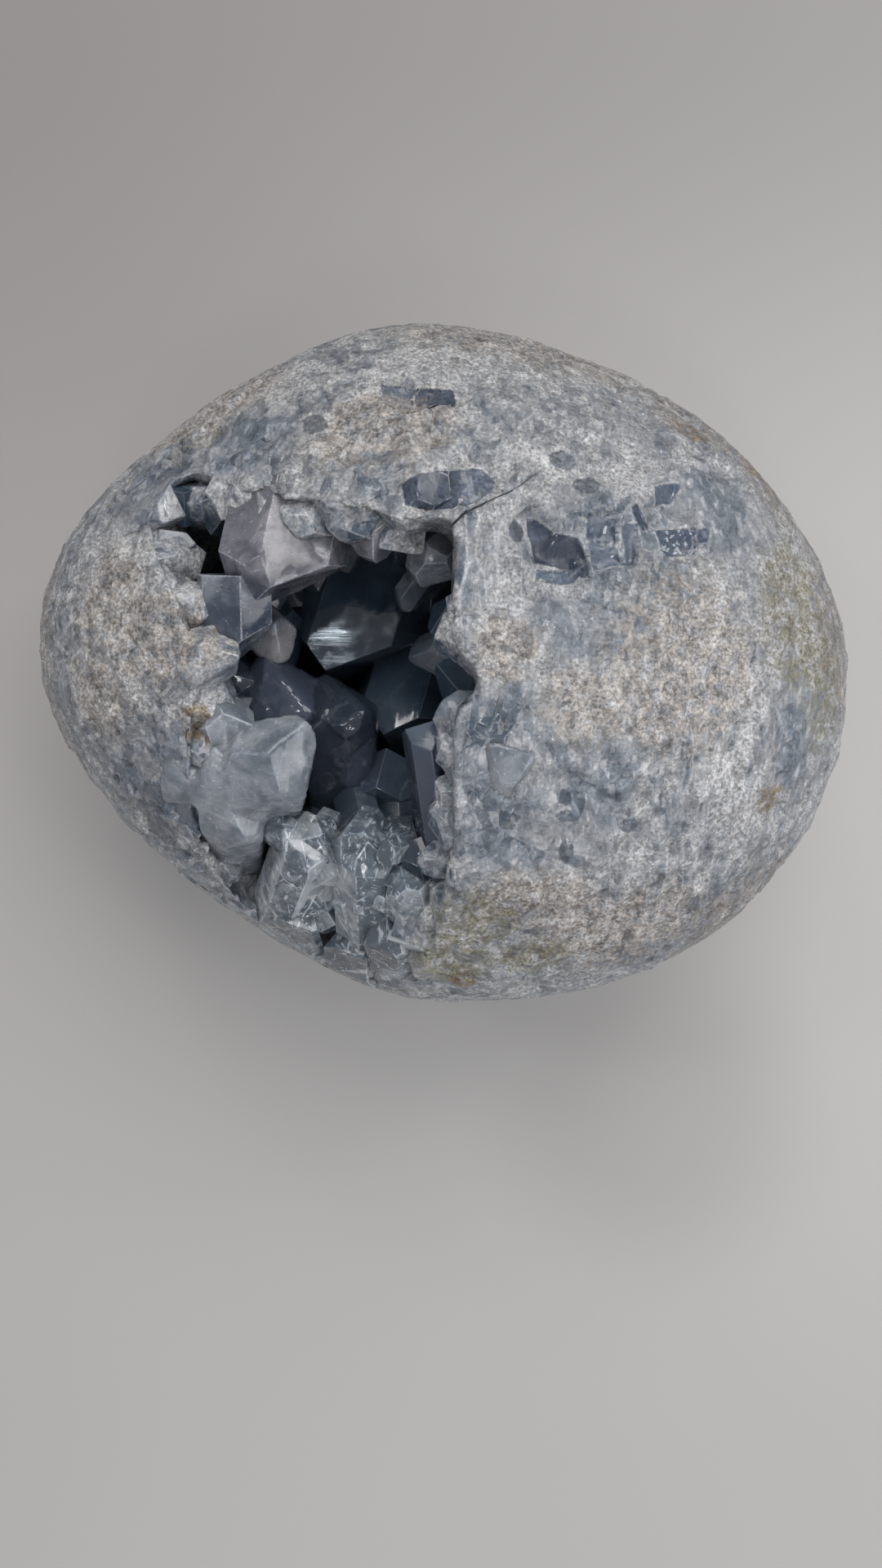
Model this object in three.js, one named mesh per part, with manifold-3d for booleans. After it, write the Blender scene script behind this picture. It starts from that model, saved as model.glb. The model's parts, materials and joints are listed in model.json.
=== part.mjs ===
// A celestite geode: a hand-sized stone of massive celestite, ground round on top and left with its natural
// skin below, broken open on one shoulder into a hollow lined with large blocky celestite crystals.
//
// Millimetres, +Z up. The origin is on the flat foot, under the centre of the stone's bounding box.
// Two pieces: geode_shell is the stone with its hollow, and crystal_crust is all that grew inside it.

import * as THREE from 'three';
import { mergeVertices } from 'three/addons/utils/BufferGeometryUtils.js';
import { ConvexGeometry } from 'three/addons/geometries/ConvexGeometry.js';
import Module from 'manifold-3d';

const wasm = await Module();
wasm.setup();

// ---- driving dimensions -------------------------------------------------------------------------------

// The stone
const GIRTH_HEIGHT = 38; // height of the widest level above the foot
const DOME_RISE = 46; // from the widest level to the top
const KEEL_DROP = 39.6; // from the widest level to where the rounded underside would end
const DOME_FULLNESS = 2.2; // 2 is an ellipse, more is boxier
const KEEL_FULLNESS = 2.5;
const GIRTH_RADIUS = 54.4; // mean radius of the plan outline
const GIRTH_LOBES = [ // waves on the plan outline: how many go round, their height, the heading of a crest
  { count: 1, height: 1.5, heading: -57 },
  { count: 2, height: 5.3, heading: -10.5 },
  { count: 3, height: 0.8, heading: -59 },
  { count: 4, height: 1.3, heading: 0 },
  { count: 5, height: 0.7, heading: 32 },
];
const SKIN_FLATS = [ // where the natural skin is flat: heading and tilt of the flat, distance from the middle
  { heading: 42, tilt: 6, distance: 54 },
  { heading: 118, tilt: -14, distance: 50.5 },
  { heading: -150, tilt: -24, distance: 51.5 },
  { heading: -75, tilt: -22, distance: 50.5 },
  { heading: -15, tilt: -34, distance: 53 },
  { heading: 170, tilt: -32, distance: 53 },
  { heading: 60, tilt: -44, distance: 48 },
];
const FLAT_SHARPNESS = 24; // higher gives the flats a crisper edge
const DOME_LUMPS = { spacing: 13, height: 0.5 };
const SKIN_LUMPS = { spacing: 10, height: 1.5 };
const SKIN_TOP = 50; // height where the smooth dome gives way to the rough skin
const SKIN_FADE = 12;
const FOOT_FADE = 10; // height over which the skin grows rough above the foot
const STONE_DETAIL = 12; // cuts along each icosahedron edge

// Where grains fell out of it
const PIT_COUNT = 14;
const PIT_START = 200; // heading of the first pit
const PIT_TILTS = [-20, 62]; // from below the girth to well up the dome
const PIT_RADII = [0.9, 1.9];

// The hollow
const HOLLOW_CENTRE = new THREE.Vector3(-13, -6, 48);
const HOLLOW_RADII = new THREE.Vector3(22, 25, 28);
const HOLLOW_LUMPS = { spacing: 9, height: 1.4 };
const HOLLOW_DETAIL = 5;
const LINING = 3; // thickness of the crystalline lining, from which the crystals grow
const LINING_DEPTH = 6; // from the stone's surface down to the lining's edge
const LINING_DETAIL = 6;
const BEDDING_GAP = 0.35; // between the shell's wall and the crust
const WALL_SLANT = 1.5; // how much more an inset made towards the middle takes, where the wall is slanted
const MOUTH_FLOOR = 38; // the mouth narrows from MOUTH_SHOULDER down to this height
const MOUTH_SHOULDER = 53;
const MOUTH_NARROWING = 0.5;
const MOUTH_TOP = 95; // above the dome
const MOUTH_OUTLINE = [ // plan outline of the mouth, clockwise from its left end
  [-40, 18], [-34, 21.5], [-27, 18], [-17, 16], [-7, 13.5], [0.5, 13.5], [0.5, 6], [0, -2], [4, -7],
  [0.5, -12], [0.5, -20], [0.5, -28], [-1, -36], [-5, -48], [-14, -49], [-24, -44], [-31, -33], [-34, -23],
  [-33, -13], [-31, -5], [-34, 3], [-37, 9],
];

// ---- noise --------------------------------------------------------------------------------------------

const GOLDEN_RATIO = (1 + Math.sqrt(5)) / 2; // turns by its inverse spread things evenly
const radians = THREE.MathUtils.degToRad;
const { lerp, smoothstep } = THREE.MathUtils;
const vec = (a) => new THREE.Vector3(...a);
const toward = (heading, tilt) => new THREE.Vector3(
  Math.cos(radians(heading)) * Math.cos(radians(tilt)),
  Math.sin(radians(heading)) * Math.cos(radians(tilt)),
  Math.sin(radians(tilt)),
);
const fract = (x) => x - Math.floor(x);
const hash = (x, y = 0, z = 0) => fract(Math.sin(x * 127.1 + y * 311.7 + z * 74.7) * 43758.5453);
const ease = (t) => t * t * (3 - 2 * t);

// Smooth noise from -1 to 1, with a lump or a hollow for each `spacing` of length.
function lumps(point, { spacing, height }) {
  const p = point.clone().divideScalar(spacing);
  const [x, y, z] = [Math.floor(p.x), Math.floor(p.y), Math.floor(p.z)];
  const [u, v, w] = [ease(p.x - x), ease(p.y - y), ease(p.z - z)];
  const row = (j, k) => lerp(hash(x, y + j, z + k), hash(x + 1, y + j, z + k), u);
  const sheet = (k) => lerp(row(0, k), row(1, k), v);
  return height * (2 * lerp(sheet(0), sheet(1), w) - 1);
}

// ---- solids -------------------------------------------------------------------------------------------

function solid(geometry) {
  const bare = geometry.clone();
  bare.deleteAttribute('normal');
  bare.deleteAttribute('uv');
  const merged = mergeVertices(bare, 1e-3);
  return new wasm.Manifold(new wasm.Mesh({
    numProp: 3,
    vertProperties: new Float32Array(merged.getAttribute('position').array),
    triVerts: new Uint32Array(merged.index.array),
  }));
}

function largestBody(made) {
  return made.decompose().reduce((a, b) => (a.volume() > b.volume() ? a : b));
}

function piece(name, made, material) {
  const { vertProperties, triVerts } = made.getMesh();
  const geometry = new THREE.BufferGeometry();
  geometry.setAttribute('position', new THREE.BufferAttribute(vertProperties, 3));
  geometry.setIndex(new THREE.BufferAttribute(triVerts, 1));
  geometry.computeVertexNormals();
  const mesh = new THREE.Mesh(geometry, material);
  mesh.name = name;
  return mesh;
}

// A ball whose every point is moved out to radius(direction).
function ball(detail, centre, radius) {
  const geometry = new THREE.IcosahedronGeometry(1, detail);
  const position = geometry.getAttribute('position');
  const direction = new THREE.Vector3();
  for (let i = 0; i < position.count; i += 1) {
    direction.fromBufferAttribute(position, i).normalize();
    const point = direction.clone().multiplyScalar(radius(direction)).add(centre);
    position.setXYZ(i, point.x, point.y, point.z);
  }
  return solid(geometry);
}

// ---- the stone ----------------------------------------------------------------------------------------

const STONE_MIDDLE = new THREE.Vector3(0, 0, GIRTH_HEIGHT);

function girthRadius(heading) {
  return GIRTH_LOBES.reduce(
    (r, lobe) => r + lobe.height * Math.cos(lobe.count * (heading - radians(lobe.heading))),
    GIRTH_RADIUS,
  );
}

// Distance from the stone's middle to its surface along a direction.
function stoneRadius(direction) {
  const across = girthRadius(Math.atan2(direction.y, direction.x));
  const [rise, fullness] = direction.z > 0 ? [DOME_RISE, DOME_FULLNESS] : [KEEL_DROP, KEEL_FULLNESS];
  const level = Math.hypot(direction.x, direction.y) / across;
  const round = (level ** fullness + (Math.abs(direction.z) / rise) ** fullness) ** (-1 / fullness);
  const flattened = SKIN_FLATS.reduce((sum, { heading, tilt, distance }) => {
    const facing = toward(heading, tilt).dot(direction);
    return sum + Math.max(0, facing / distance) ** FLAT_SHARPNESS;
  }, round ** -FLAT_SHARPNESS);
  const r = flattened ** (-1 / FLAT_SHARPNESS);
  const point = direction.clone().multiplyScalar(r).add(STONE_MIDDLE);
  const skin = (1 - smoothstep(point.z, SKIN_TOP - SKIN_FADE, SKIN_TOP)) * smoothstep(point.z, 0, FOOT_FADE);
  return r + lumps(point, DOME_LUMPS) + skin * lumps(point, SKIN_LUMPS);
}

function stone(proud, detail = STONE_DETAIL) {
  const round = ball(detail, STONE_MIDDLE, (direction) => stoneRadius(direction) + proud);
  const below = new THREE.BoxGeometry(4 * GIRTH_RADIUS, 4 * GIRTH_RADIUS, KEEL_DROP);
  below.translate(0, 0, -KEEL_DROP / 2);
  return round.subtract(solid(below));
}

// Where the stone's surface lies along a direction.
const onStone = (direction) => direction.clone().multiplyScalar(stoneRadius(direction)).add(STONE_MIDDLE);

// Small hollows where grains fell out of the dome and the skin.
function pits() {
  return Array.from({ length: PIT_COUNT }, (_, i) => {
    const direction = toward(PIT_START + (i * 360) / GOLDEN_RATIO, lerp(...PIT_TILTS, hash(i, 11)));
    const geometry = new THREE.IcosahedronGeometry(lerp(...PIT_RADII, hash(i, 12)), 0);
    geometry.scale(1.5, 1, 1).rotateZ(i).translate(...onStone(direction).toArray());
    return solid(geometry);
  });
}

// ---- the hollow ---------------------------------------------------------------------------------------

// The hollow below the mouth, `inset` inside its true wall.
function hollow(inset) {
  return ball(HOLLOW_DETAIL, HOLLOW_CENTRE, (direction) => {
    const r = 1 / Math.hypot(
      direction.x / HOLLOW_RADII.x,
      direction.y / HOLLOW_RADII.y,
      direction.z / HOLLOW_RADII.z,
    );
    const point = direction.clone().multiplyScalar(r).add(HOLLOW_CENTRE);
    return r + lumps(point, HOLLOW_LUMPS) - WALL_SLANT * inset;
  });
}

// The mouth: its outline carried straight down from above the dome, then narrowing into the hollow.
function mouth(inset) {
  const outline = MOUTH_OUTLINE.map(([x, y]) => {
    const out = new THREE.Vector2(x - HOLLOW_CENTRE.x, y - HOLLOW_CENTRE.y);
    out.setLength(out.length() - WALL_SLANT * inset);
    return out;
  });
  const levels = [MOUTH_FLOOR, MOUTH_SHOULDER, MOUTH_TOP];
  const geometry = new THREE.ExtrudeGeometry(new THREE.Shape(outline), {
    depth: 2, steps: 2, bevelEnabled: false,
  });
  const position = geometry.getAttribute('position');
  for (let i = 0; i < position.count; i += 1) {
    const level = Math.round(position.getZ(i));
    const scale = level === 0 ? MOUTH_NARROWING : 1;
    position.setXYZ(
      i,
      position.getX(i) * scale + HOLLOW_CENTRE.x,
      position.getY(i) * scale + HOLLOW_CENTRE.y,
      levels[level] + (level === 0 ? inset : 0),
    );
  }
  return solid(geometry);
}

const hollowAndMouth = (inset) => hollow(inset).add(mouth(inset));

// ---- crystals -----------------------------------------------------------------------------------------

// Angles between celestite's faces and its long axis, or its width for the prism faces.
const PRISM_ANGLE = radians(38);
const WEDGE_ANGLE = radians(38);
const ROOF_ANGLE = radians(51);

// Corners of the convex body cut by planes, each a normal and a distance from the origin.
function corners(planes) {
  const found = [];
  planes.forEach((a, i) => planes.slice(i + 1).forEach((b, j) => planes.slice(i + j + 2).forEach((c) => {
    const bc = b.normal.clone().cross(c.normal);
    const volume = a.normal.dot(bc);
    if (Math.abs(volume) < 1e-6) return;
    const point = bc.multiplyScalar(a.distance)
      .addScaledVector(c.normal.clone().cross(a.normal), b.distance)
      .addScaledVector(a.normal.clone().cross(b.normal), c.distance)
      .divideScalar(volume);
    if (planes.every(({ normal, distance }) => normal.dot(point) < distance + 1e-6)) found.push(point);
  })));
  return found;
}

// One celestite crystal from its root to its tip: a flat prism that ends in a wedge. `size` is its width and
// thickness, and its broad faces look along `facing`. `lean` moves the wedge's ridge to one side. `blunt` is
// how much of the tip is worn flat, and then the ridge has a roof-shaped bevel too.
function crystal({ root, tip, size, facing, lean = 0, blunt = 0 }) {
  const along = vec(tip).sub(vec(root));
  const length = along.length();
  along.normalize();
  const across = vec(facing).cross(along).normalize();
  const broad = along.clone().cross(across);
  const plane = (x, y, z, distance) => {
    const normal = across.clone().multiplyScalar(x).addScaledVector(broad, y).addScaledVector(along, z);
    return { normal: normal.normalize(), distance };
  };
  const [w, t] = [size[0] / 2, size[1] / 2];
  const [prismX, prismY] = [Math.cos(PRISM_ANGLE), Math.sin(PRISM_ANGLE)];
  const [wedgeX, wedgeZ] = [Math.sin(WEDGE_ANGLE), Math.cos(WEDGE_ANGLE)];
  const [roofY, roofZ] = [Math.sin(ROOF_ANGLE), Math.cos(ROOF_ANGLE)];
  const planes = [plane(0, 0, -1, 0), plane(0, 1, 0, t), plane(0, -1, 0, t)];
  [-1, 1].forEach((side) => {
    [-1, 1].forEach((face) => planes.push(plane(side * prismX, face * prismY, 0, w * prismX)));
    planes.push(plane(side * wedgeX, 0, wedgeZ, length * wedgeZ + side * lean * w * wedgeX));
    if (blunt) planes.push(plane(0, side * roofY, roofZ, length * roofZ));
  });
  if (blunt) planes.push(plane(0, 0, 1, length * (1 - blunt)));
  return solid(new ConvexGeometry(corners(planes).map((p) => p.add(vec(root)))));
}

// Places on the dome where a crystal broke out and left its flat-faced bed, as the crystal that is missing.
const LOST_CRYSTALS = {
  great_window: { root: [19, 1, 85], tip: [9, 16, 83.6], size: [9, 6.4], facing: [0.15, -0.1, 1] },
  long_window: { root: [17, 17, 84.5], tip: [33, 9, 81], size: [9, 7], facing: [0.3, 0.25, 1] },
  eave_window: { root: [-9, 16, 83], tip: [6, 19, 84], size: [8, 5], facing: [-0.1, 0.1, 1] },
  back_window: { root: [3, 34, 76], tip: [-8, 31, 78], size: [9, 6], facing: [0, 0.5, 1] },
  left_window: { root: [-32, 30, 68], tip: [-40, 24, 66], size: [8, 6], facing: [-0.6, 0.5, 0.8] },
  front_window: { root: [23, -25, 78.5], tip: [15, -19, 82], size: [7, 5], facing: [0.2, -0.3, 1] },
  low_window: { root: [-37, -24, 62], tip: [-42, -14, 64], size: [7, 5], facing: [-0.6, -0.3, 0.8] },
};

// The crystals that show in the mouth and give it its shape.
const LEADING_CRYSTALS = {
  lintel: { root: [-19.5, 23, 75], tip: [-22.5, 4, 73.5], size: [17.5, 11], facing: [0.4, 0.1, 0.9] },
  cube: { root: [-26.5, 10, 73], tip: [-26.5, -2, 70.5], size: [10, 7], facing: [-0.3, 0.2, 0.9] },
  ice_upper: { root: [-27, -22, 58], tip: [-22, -14.8, 80], size: [14, 12], facing: [-5, -4, 6] },
  ice_lower: { root: [-30, -29, 54], tip: [-26.5, -21, 77], size: [12, 10], facing: [-5, -5, 6] },
  dusk_left: { root: [-27, -19, 44], tip: [-21.5, -5.5, 68], size: [14, 12], facing: [6, -3, 7] },
  dusk_right: { root: [-15.5, -28, 48], tip: [-14, -6.5, 66], size: [11, 10], facing: [3, 4, 8] },
  heart: { root: [-10.5, 25, 52], tip: [-15.2, -4.6, 55], size: [19, 11], facing: [0, 0.1, 1] },
  heart_right: { root: [1, 14, 42], tip: [-6.5, -12, 52], size: [18, 12], facing: [-0.1, 0.2, 1] },
  heart_left: { root: [-34, 12, 42], tip: [-22.5, 0, 60], size: [11, 9], facing: [0.3, 0.3, 0.8] },
  blade_long: { root: [0, -38, 62], tip: [-3.5, -12, 77], size: [6.5, 4], facing: [-0.9, 0.1, 0.5] },
  blade_mid: { root: [4, -32, 58], tip: [-2.5, -18, 73], size: [6, 4], facing: [-0.8, 0.2, 0.7] },
  blade_low: { root: [-1, -43, 56], tip: [-5, -27, 70], size: [6, 4], facing: [-0.8, 0.3, 0.6] },
  deep_plate: { root: [-7, -32, 42], tip: [-9, -17, 63], size: [12, 7], facing: [-0.2, -0.6, 0.8] },
  spray_left: { root: [-25, -40, 48], tip: [-17, -24, 70], size: [10, 8], facing: [-2, -5, 8], blunt: 0.15 },
  spray_star: { root: [-11, -44, 50], tip: [-10.5, -27, 70], size: [10, 8], facing: [0.1, -0.6, 0.8] },
  spray_right: { root: [-3, -44, 52], tip: [-6, -31, 70], size: [8, 6], facing: [0.2, -0.6, 0.8] },
  toe_left: { root: [-21, -45, 46], tip: [-22, -37, 62], size: [8, 6], facing: [-4, -8, 5], blunt: 0.15 },
  toe_mid: { root: [-13, -49, 44], tip: [-14, -41, 61], size: [8, 6], facing: [0, -1, 0.6], blunt: 0.15 },
  toe_right: { root: [-6, -50, 46], tip: [-8, -39, 64], size: [8, 6], facing: [0.3, -1, 0.6] },
  notch: { root: [-37, -6, 56], tip: [-28, -5, 68], size: [8, 6], facing: [-0.4, 0.2, 0.9] },
  notch_low: { root: [-37, -12, 60], tip: [-27.5, -11, 74], size: [9, 6], facing: [-0.5, 0.3, 0.8] },
  niche_left: { root: [-44, 14, 60], tip: [-35, 11, 72], size: [7, 5], facing: [-0.2, -0.6, 0.8] },
  niche_top: { root: [-39, 25, 58], tip: [-35, 17, 70], size: [7, 5], facing: [0.2, 0.4, 0.9] },
  niche_right: { root: [-28, 23, 62], tip: [-30, 15, 72], size: [6, 5], facing: [0.5, 0.3, 0.8] },
  eave_mid: { root: [-9, 20, 66], tip: [-9.5, 11, 77], size: [8, 6], facing: [0, 0.5, 0.9] },
  eave_right: { root: [3, 17, 60], tip: [-3.5, 9, 71], size: [8, 6], facing: [-0.4, -0.5, 0.8] },
  jamb_upper: { root: [7, 4, 54], tip: [-1, 3, 67], size: [7, 5], facing: [-0.7, -0.4, 0.6] },
  jamb_lower: { root: [7, -4, 58], tip: [0.5, -6, 72], size: [7, 6], facing: [-0.7, 0.3, 0.7] },
};

// The smaller crystals that cover the rest of the wall, spread evenly from its bottom upward.
const DRUSE_COUNT = 25;
const DRUSE_TILTS = [-75, 18]; // from nearly straight below the middle to a little above it
const DRUSE_LENGTH = [7, 12];
const DRUSE_WIDTH = [6, 10];
const DRUSE_FLATNESS = [0.6, 0.9]; // thickness over width
const DRUSE_SPLAY = 0.9; // how far a crystal leans from the wall's normal

function druse() {
  const [lowest, highest] = DRUSE_TILTS.map((tilt) => Math.sin(radians(tilt)));
  return Array.from({ length: DRUSE_COUNT }, (_, i) => {
    const jitter = (k) => hash(i, k) - 0.5;
    const level = lerp(lowest, highest, (i + 0.5) / DRUSE_COUNT);
    const outward = toward((i * 360) / GOLDEN_RATIO, THREE.MathUtils.radToDeg(Math.asin(level)));
    const root = outward.clone().multiply(HOLLOW_RADII).add(HOLLOW_CENTRE);
    const inward = outward.clone().divide(HOLLOW_RADII).normalize().negate();
    inward.add(new THREE.Vector3(jitter(1), jitter(2), jitter(3)).multiplyScalar(DRUSE_SPLAY)).normalize();
    const width = lerp(...DRUSE_WIDTH, hash(i, 4));
    return crystal({
      root: root.toArray(),
      tip: root.clone().addScaledVector(inward, lerp(...DRUSE_LENGTH, hash(i, 4))).toArray(),
      size: [width, width * lerp(...DRUSE_FLATNESS, hash(i, 5))],
      facing: [jitter(6), jitter(7), jitter(8)],
      lean: jitter(9),
    });
  });
}

// ---- the two pieces -----------------------------------------------------------------------------------

const lost = wasm.Manifold.union([...Object.values(LOST_CRYSTALS).map(crystal), ...pits()]);
const shell = largestBody(stone(0).subtract(lost).subtract(hollowAndMouth(0)));

const lining = stone(-LINING_DEPTH, LINING_DETAIL).subtract(hollowAndMouth(LINING + BEDDING_GAP));
const crystals = wasm.Manifold.union([...Object.values(LEADING_CRYSTALS).map(crystal), ...druse()]);
const grown = lining.add(crystals).intersect(hollowAndMouth(BEDDING_GAP));
const crust = largestBody(grown.intersect(stone(0)));

const stoneFinish = new THREE.MeshStandardMaterial({ color: 0xaeb1b5, roughness: 0.6, metalness: 0 });
const crystalFinish = new THREE.MeshStandardMaterial({ color: 0x5d7088, roughness: 0.1, metalness: 0 });

const geode = new THREE.Group();
geode.add(piece('geode_shell', shell, stoneFinish), piece('crystal_crust', crust, crystalFinish));

// Put the origin under the centre of the bounding box.
const centre = new THREE.Box3().setFromObject(geode).getCenter(new THREE.Vector3());
geode.position.set(-centre.x, -centre.y, 0);

export default geode;
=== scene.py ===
"""Celestite geode.

Finishes the geode's construction model. The massive stone gets its grain, fracture, skin and stains, and the
hollow gets its crystals, each one cut from a block along the faces that celestite grows.
"""

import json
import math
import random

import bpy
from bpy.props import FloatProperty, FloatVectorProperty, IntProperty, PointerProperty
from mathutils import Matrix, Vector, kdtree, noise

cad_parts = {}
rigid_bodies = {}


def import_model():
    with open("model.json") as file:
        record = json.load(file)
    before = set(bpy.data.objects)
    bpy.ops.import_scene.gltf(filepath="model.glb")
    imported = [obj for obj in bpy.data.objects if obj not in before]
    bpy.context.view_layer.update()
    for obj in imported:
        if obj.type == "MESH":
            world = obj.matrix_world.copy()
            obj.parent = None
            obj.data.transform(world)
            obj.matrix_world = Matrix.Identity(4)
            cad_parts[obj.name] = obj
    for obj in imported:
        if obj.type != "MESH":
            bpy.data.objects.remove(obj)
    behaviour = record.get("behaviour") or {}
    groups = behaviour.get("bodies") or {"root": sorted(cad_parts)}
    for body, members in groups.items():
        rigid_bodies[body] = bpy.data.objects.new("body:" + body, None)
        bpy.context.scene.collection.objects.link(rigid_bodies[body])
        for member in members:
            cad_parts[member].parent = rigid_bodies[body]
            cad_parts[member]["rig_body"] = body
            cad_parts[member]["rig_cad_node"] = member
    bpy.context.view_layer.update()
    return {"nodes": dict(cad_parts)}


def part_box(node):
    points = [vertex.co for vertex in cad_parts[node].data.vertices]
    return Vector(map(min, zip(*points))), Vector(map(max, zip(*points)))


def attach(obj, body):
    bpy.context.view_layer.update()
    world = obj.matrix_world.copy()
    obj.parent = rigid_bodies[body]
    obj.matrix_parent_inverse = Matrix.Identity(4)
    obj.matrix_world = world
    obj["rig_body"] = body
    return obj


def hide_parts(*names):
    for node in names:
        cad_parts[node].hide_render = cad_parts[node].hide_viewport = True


bl_info = {
    "name": "Celestite Geode",
    "version": (1, 0, 0),
    "blender": (4, 5, 0),
    "location": "3D View > Sidebar > Geode",
    "description": "Models and finishes a celestite geode around its construction model",
    "category": "Add Mesh",
}

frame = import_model()

MM = 0.001
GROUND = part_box("geode_shell")[0].z  # height of the stone's foot

# Plan shift from the stone's own centre, which the crystals' places are measured from, to the frame's origin.
PLAN_SHIFT = Vector((0.54, 0.87, 0.0))


def place(point):
    """A place given in millimetres from the stone's centre, as metres in the frame."""
    return (Vector(point) + PLAN_SHIFT) * MM


# ---- settings ----------------------------------------------------------------------------------------------


def colour(name, description, default):
    return FloatVectorProperty(
        name=name, description=description, default=default, subtype="COLOR", min=0.0, max=1.0
    )


def length(name, description, millimetres):
    return FloatProperty(
        name=name, description=description, default=millimetres * MM, unit="LENGTH", precision=5
    )


def number(name, description, default):
    return IntProperty(name=name, description=description, default=default)


class StoneSettings(bpy.types.PropertyGroup):
    mesh_size: length("Mesh size", "Edge length of the stone's mesh", 0.8)
    grain_height: length("Grain height", "Height of the fine grain", 0.12)
    lump_height: length("Lump height", "Height of the broad lumps", 0.35)
    pit_depth: length("Pit depth", "Depth of the pits where grains fell out", 0.55)
    fracture_height: length("Fracture height", "Height of the flat-faced fracture around the hollow", 1.5)
    fibre_height: length("Fibre height", "Height of the columns at the hollow's right wall", 0.6)
    crack_width: length("Crack width", "Width of the crack beside the hollow", 0.35)
    white: colour("White", "The chalky white part of the stone", (0.50, 0.50, 0.505))
    pale: colour("Pale", "The milky part of the stone", (0.37, 0.385, 0.405))
    blue: colour("Blue", "The clear blue-grey part of the stone", (0.23, 0.26, 0.30))
    deep: colour("Deep blue", "The clearest grains", (0.10, 0.135, 0.18))
    sandy: colour("Sandy", "The sandy patches", (0.50, 0.44, 0.38))


class CrystalSettings(bpy.types.PropertyGroup):
    edge: length("Edge width", "Width of the worn edge between two faces", 0.12)
    ice_height: length("Ice height", "Height of the broken skin on rounded crystals", 0.5)
    druse_count: number("Druse", "How many small crystals line the hollow", 150)
    rim_count: number("Rim", "How many broken crystals stand along the rim", 110)
    band_count: number("Band", "How many broken crystals lie around the rim", 170)
    spray_count: number("Spray", "How many small crystals stand in the spray", 40)
    sheet_count: number("Fractures", "How many fractures lie in the spray", 60)
    navy: colour("Navy", "The body of the deep crystals", (0.075, 0.115, 0.165))
    violet: colour("Violet", "The violet ones among them", (0.10, 0.115, 0.165))
    frost: colour("Frost", "The milky crystals at the rim", (0.25, 0.29, 0.34))
    spray: colour("Spray body", "The fractured clear crystals", (0.27, 0.33, 0.39))


class StageSettings(bpy.types.PropertyGroup):
    floor_tone: colour("Floor", "The plain floor", (0.60, 0.585, 0.57))
    distance: length("Camera distance", "From the camera to the middle of the stone", 226.0)
    elevation: FloatProperty(
        name="Elevation", description="Of the camera", default=math.radians(84), unit="ROTATION"
    )
    lens: FloatProperty(name="Lens", description="Focal length in millimetres", default=34.0)


# ---- modelling tools ---------------------------------------------------------------------------------------


def only(obj):
    """Selects obj alone and makes it active."""
    bpy.ops.object.select_all(action="DESELECT")
    obj.select_set(True)
    bpy.context.view_layer.objects.active = obj


def edit(obj):
    only(obj)
    bpy.ops.object.mode_set(mode="EDIT")
    bpy.ops.mesh.select_all(action="SELECT")


def leave():
    bpy.ops.object.mode_set(mode="OBJECT")


def settle(obj):
    """Puts obj's place, turn and scale into its mesh."""
    only(obj)
    bpy.ops.object.transform_apply(location=True, rotation=True, scale=True)


def apply(obj, kind, **settings):
    """Adds one modifier to obj and applies it."""
    only(obj)
    modifier = obj.modifiers.new(kind.title(), kind)
    for name, value in settings.items():
        setattr(modifier, name, value)
    bpy.ops.object.modifier_apply(modifier=modifier.name)


def merged_copy(node, name):
    """A free copy of a construction node, with its loose triangles merged."""
    obj = frame["nodes"][node].copy()
    obj.data = obj.data.copy()
    obj.name = obj.data.name = name
    obj.parent = None
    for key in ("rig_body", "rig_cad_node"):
        if key in obj:
            del obj[key]
    obj.data.materials.clear()
    bpy.context.scene.collection.objects.link(obj)
    obj.hide_render = obj.hide_viewport = False
    obj.hide_set(False)
    edit(obj)
    bpy.ops.mesh.remove_doubles(threshold=0.001 * MM)
    leave()
    return obj


def fuse(objects, name):
    """Joins overlapping closed solids in one."""
    first, rest = objects[0], objects[1:]
    group = bpy.data.collections.new(name)
    bpy.context.scene.collection.children.link(group)
    for obj in rest:
        group.objects.link(obj)
    apply(first, "BOOLEAN", operation="UNION", solver="MANIFOLD", operand_type="COLLECTION", collection=group)
    for obj in rest:
        bpy.data.objects.remove(obj)
    bpy.data.collections.remove(group)
    first.name = first.data.name = name
    return first


def carve(obj, other, operation):
    """Cuts obj by the solid other, or keeps what they share, and deletes other."""
    apply(obj, "BOOLEAN", operation=operation, solver="MANIFOLD", object=other)
    bpy.data.objects.remove(other)


def hand_over(obj, material, replaced=None):
    """Gives a finished piece its material and its place in the frame."""
    obj.data.materials.clear()
    obj.data.materials.append(material)
    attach(obj, "root")
    if replaced:
        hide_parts(replaced)


# ---- shader tools ------------------------------------------------------------------------------------------


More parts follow.
